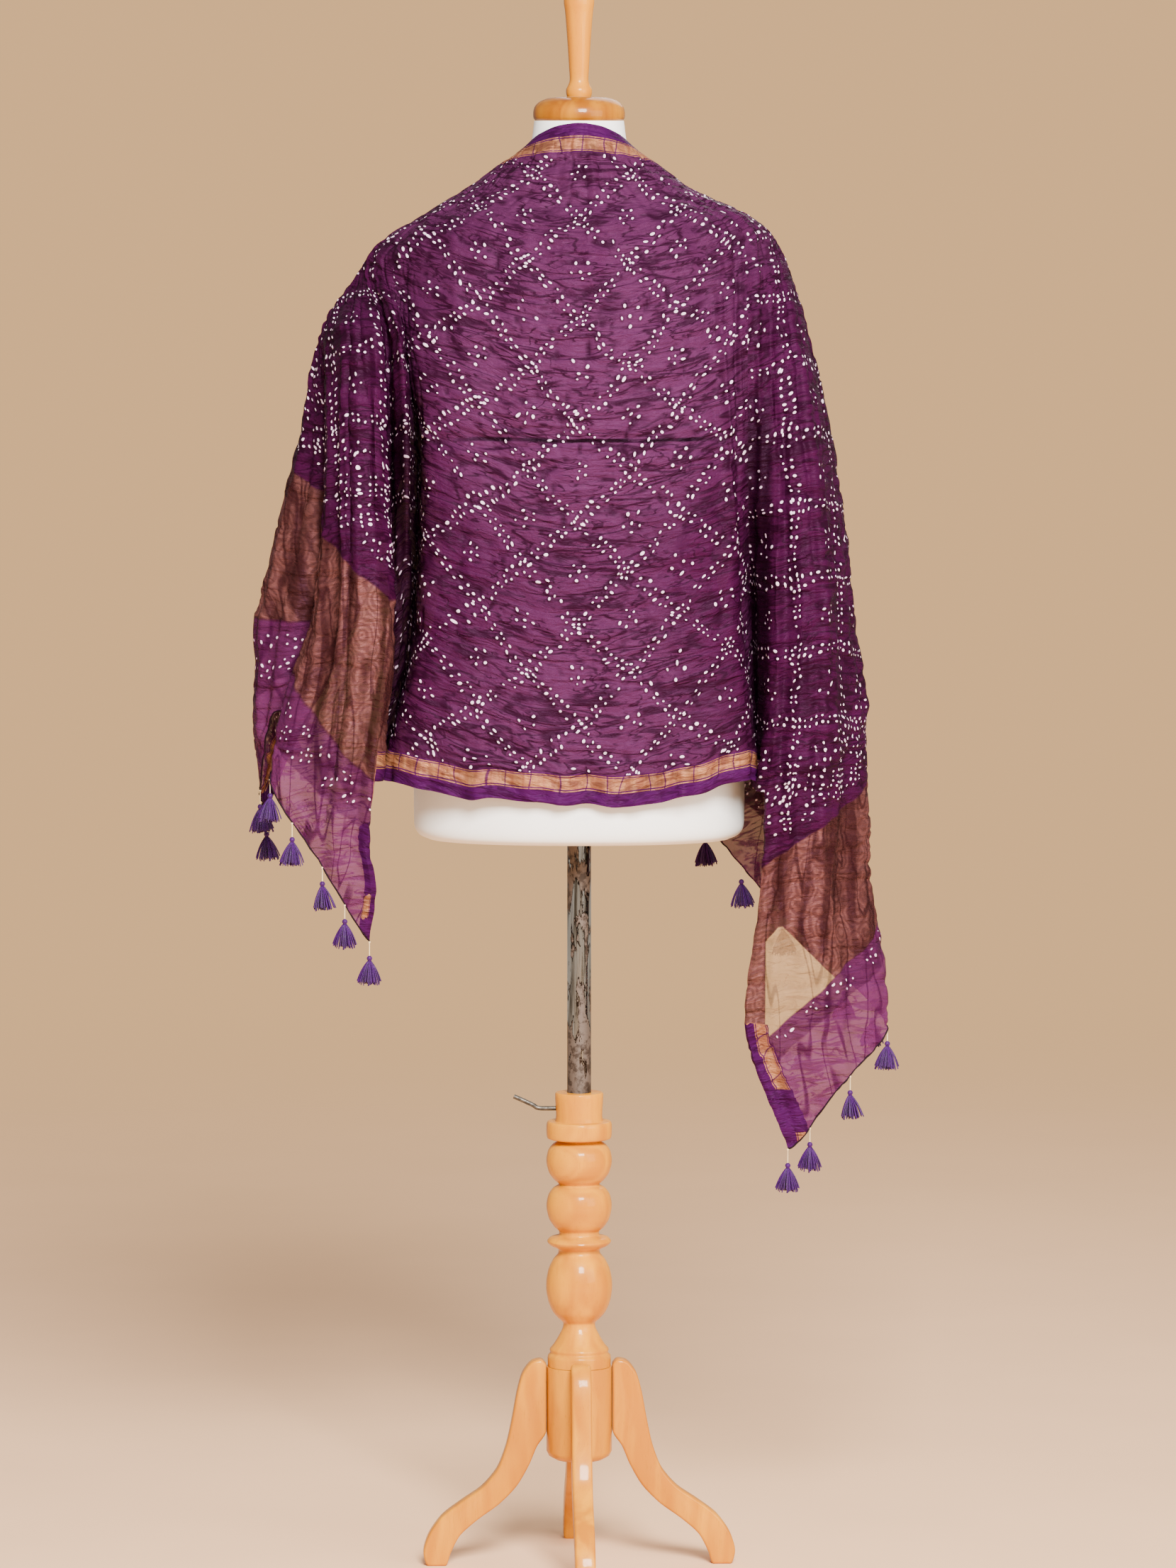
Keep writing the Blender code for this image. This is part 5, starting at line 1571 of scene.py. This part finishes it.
class STOLE_OT_stage(bpy.types.Operator):
    """Lay the floor and set the soft light and the camera"""
    bl_idname = "stole.set_stage"
    bl_label = "Set Stage"

    def execute(self, context):
        settings = context.scene.stole_stage
        made, tree, shader = new_shader("pale floor")
        place = on_object(tree)
        cloudy = place.noise(3.0, 4.0)
        shade = cloudy.ease(0.3, 0.7).blend(settings.floor, dimmed(settings.floor, 0.96))
        shader["Base Color"] = shade
        shader["Roughness"] = 0.85
        reach = place.length()
        shader["Alpha"] = reach.ease(5.5, 1.2)
        mesh = bpy.data.meshes.new("floor")
        around = [(6 * math.cos(a), 6 * math.sin(a), 0.0) for a in np.linspace(0, 2 * math.pi, 65)[:-1]]
        mesh.from_pydata(around, [], [list(range(64))])
        mesh.materials.append(made)
        floor = bpy.data.objects.new("floor", mesh)
        show(floor)
        floor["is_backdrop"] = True
        world = bpy.data.worlds.new("studio")
        world.use_nodes = True
        studio, sky = world.node_tree, world.node_tree.nodes["Background"]
        seen = add(studio, "ShaderNodeLightPath")
        feed(studio, sky.inputs["Color"], seen.blend(settings.room, settings.backdrop))
        sky.inputs["Strength"].default_value = settings.light
        context.scene.world = world
        lamps = [("key", (0.7, -4.3, 3.3), 1.6, 980.0), ("fill", (3.0, -3.0, 1.9), 2.4, 120.0),
                 ("back", (0.8, 3.4, 3.2), 2.2, 45.0)]
        for name, spot, size, power in lamps:
            lamp = bpy.data.lights.new(name, "AREA")
            lamp.size = size
            lamp.energy = power * settings.light
            lamp.color = (1.0, 0.97, 0.93)
            holder = bpy.data.objects.new(name, lamp)
            holder.location = spot
            aim = Vector((0.0, 0.0, 0.9)) - Vector(spot)
            holder.rotation_euler = aim.to_track_quat("-Z", "Y").to_euler()
            show(holder)
        eye = bpy.data.cameras.new("view")
        eye.lens = 175.6
        eye.sensor_width = 36.0
        eye.clip_end = 100.0
        camera = bpy.data.objects.new("view", eye)
        camera.location = (0.0093, -7.970, 1.523)
        camera.rotation_euler = (math.radians(85.0), 0.0, 0.0)
        show(camera)
        context.scene.camera = camera
        return {"FINISHED"}


SETTINGS = [("stole", StoleSettings), ("stole_tassels", TasselSettings), ("stole_form", FormSettings),
            ("stole_stand", StandSettings), ("stole_stage", StageSettings)]
OPERATORS = [STOLE_OT_form, STOLE_OT_front, STOLE_OT_left, STOLE_OT_right, STOLE_OT_edges, STOLE_OT_tassels,
             STOLE_OT_cap, STOLE_OT_stand, STOLE_OT_pole, STOLE_OT_stage]


class STOLE_PT_panel(bpy.types.Panel):
    """Sizes, colours and making steps of the stole and its stand"""
    bl_idname = "STOLE_PT_panel"
    bl_label = "Stole on a Dress Form"
    bl_space_type = "VIEW_3D"
    bl_region_type = "UI"
    bl_category = "Stole"

    def draw(self, context):
        for name, group in SETTINGS:
            box = self.layout.box()
            settings = getattr(context.scene, name)
            for key in group.__annotations__:
                box.prop(settings, key)
        for operator in OPERATORS:
            self.layout.operator(operator.bl_idname)


def register():
    for name, group in SETTINGS:
        bpy.utils.register_class(group)
        setattr(bpy.types.Scene, name, PointerProperty(type=group))
    for operator in OPERATORS:
        bpy.utils.register_class(operator)
    bpy.utils.register_class(STOLE_PT_panel)


def unregister():
    bpy.utils.unregister_class(STOLE_PT_panel)
    for operator in reversed(OPERATORS):
        bpy.utils.unregister_class(operator)
    for name, group in reversed(SETTINGS):
        delattr(bpy.types.Scene, name)
        bpy.utils.unregister_class(group)


def main():
    """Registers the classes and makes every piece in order."""
    register()
    for operator in OPERATORS:
        group, name = operator.bl_idname.split(".")
        getattr(getattr(bpy.ops, group), name)()
    boxes = {"cad": [list(corner) for corner in CAD_BOX], "visual": [list(corner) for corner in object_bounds()]}


if __name__ == "__main__":
    main()
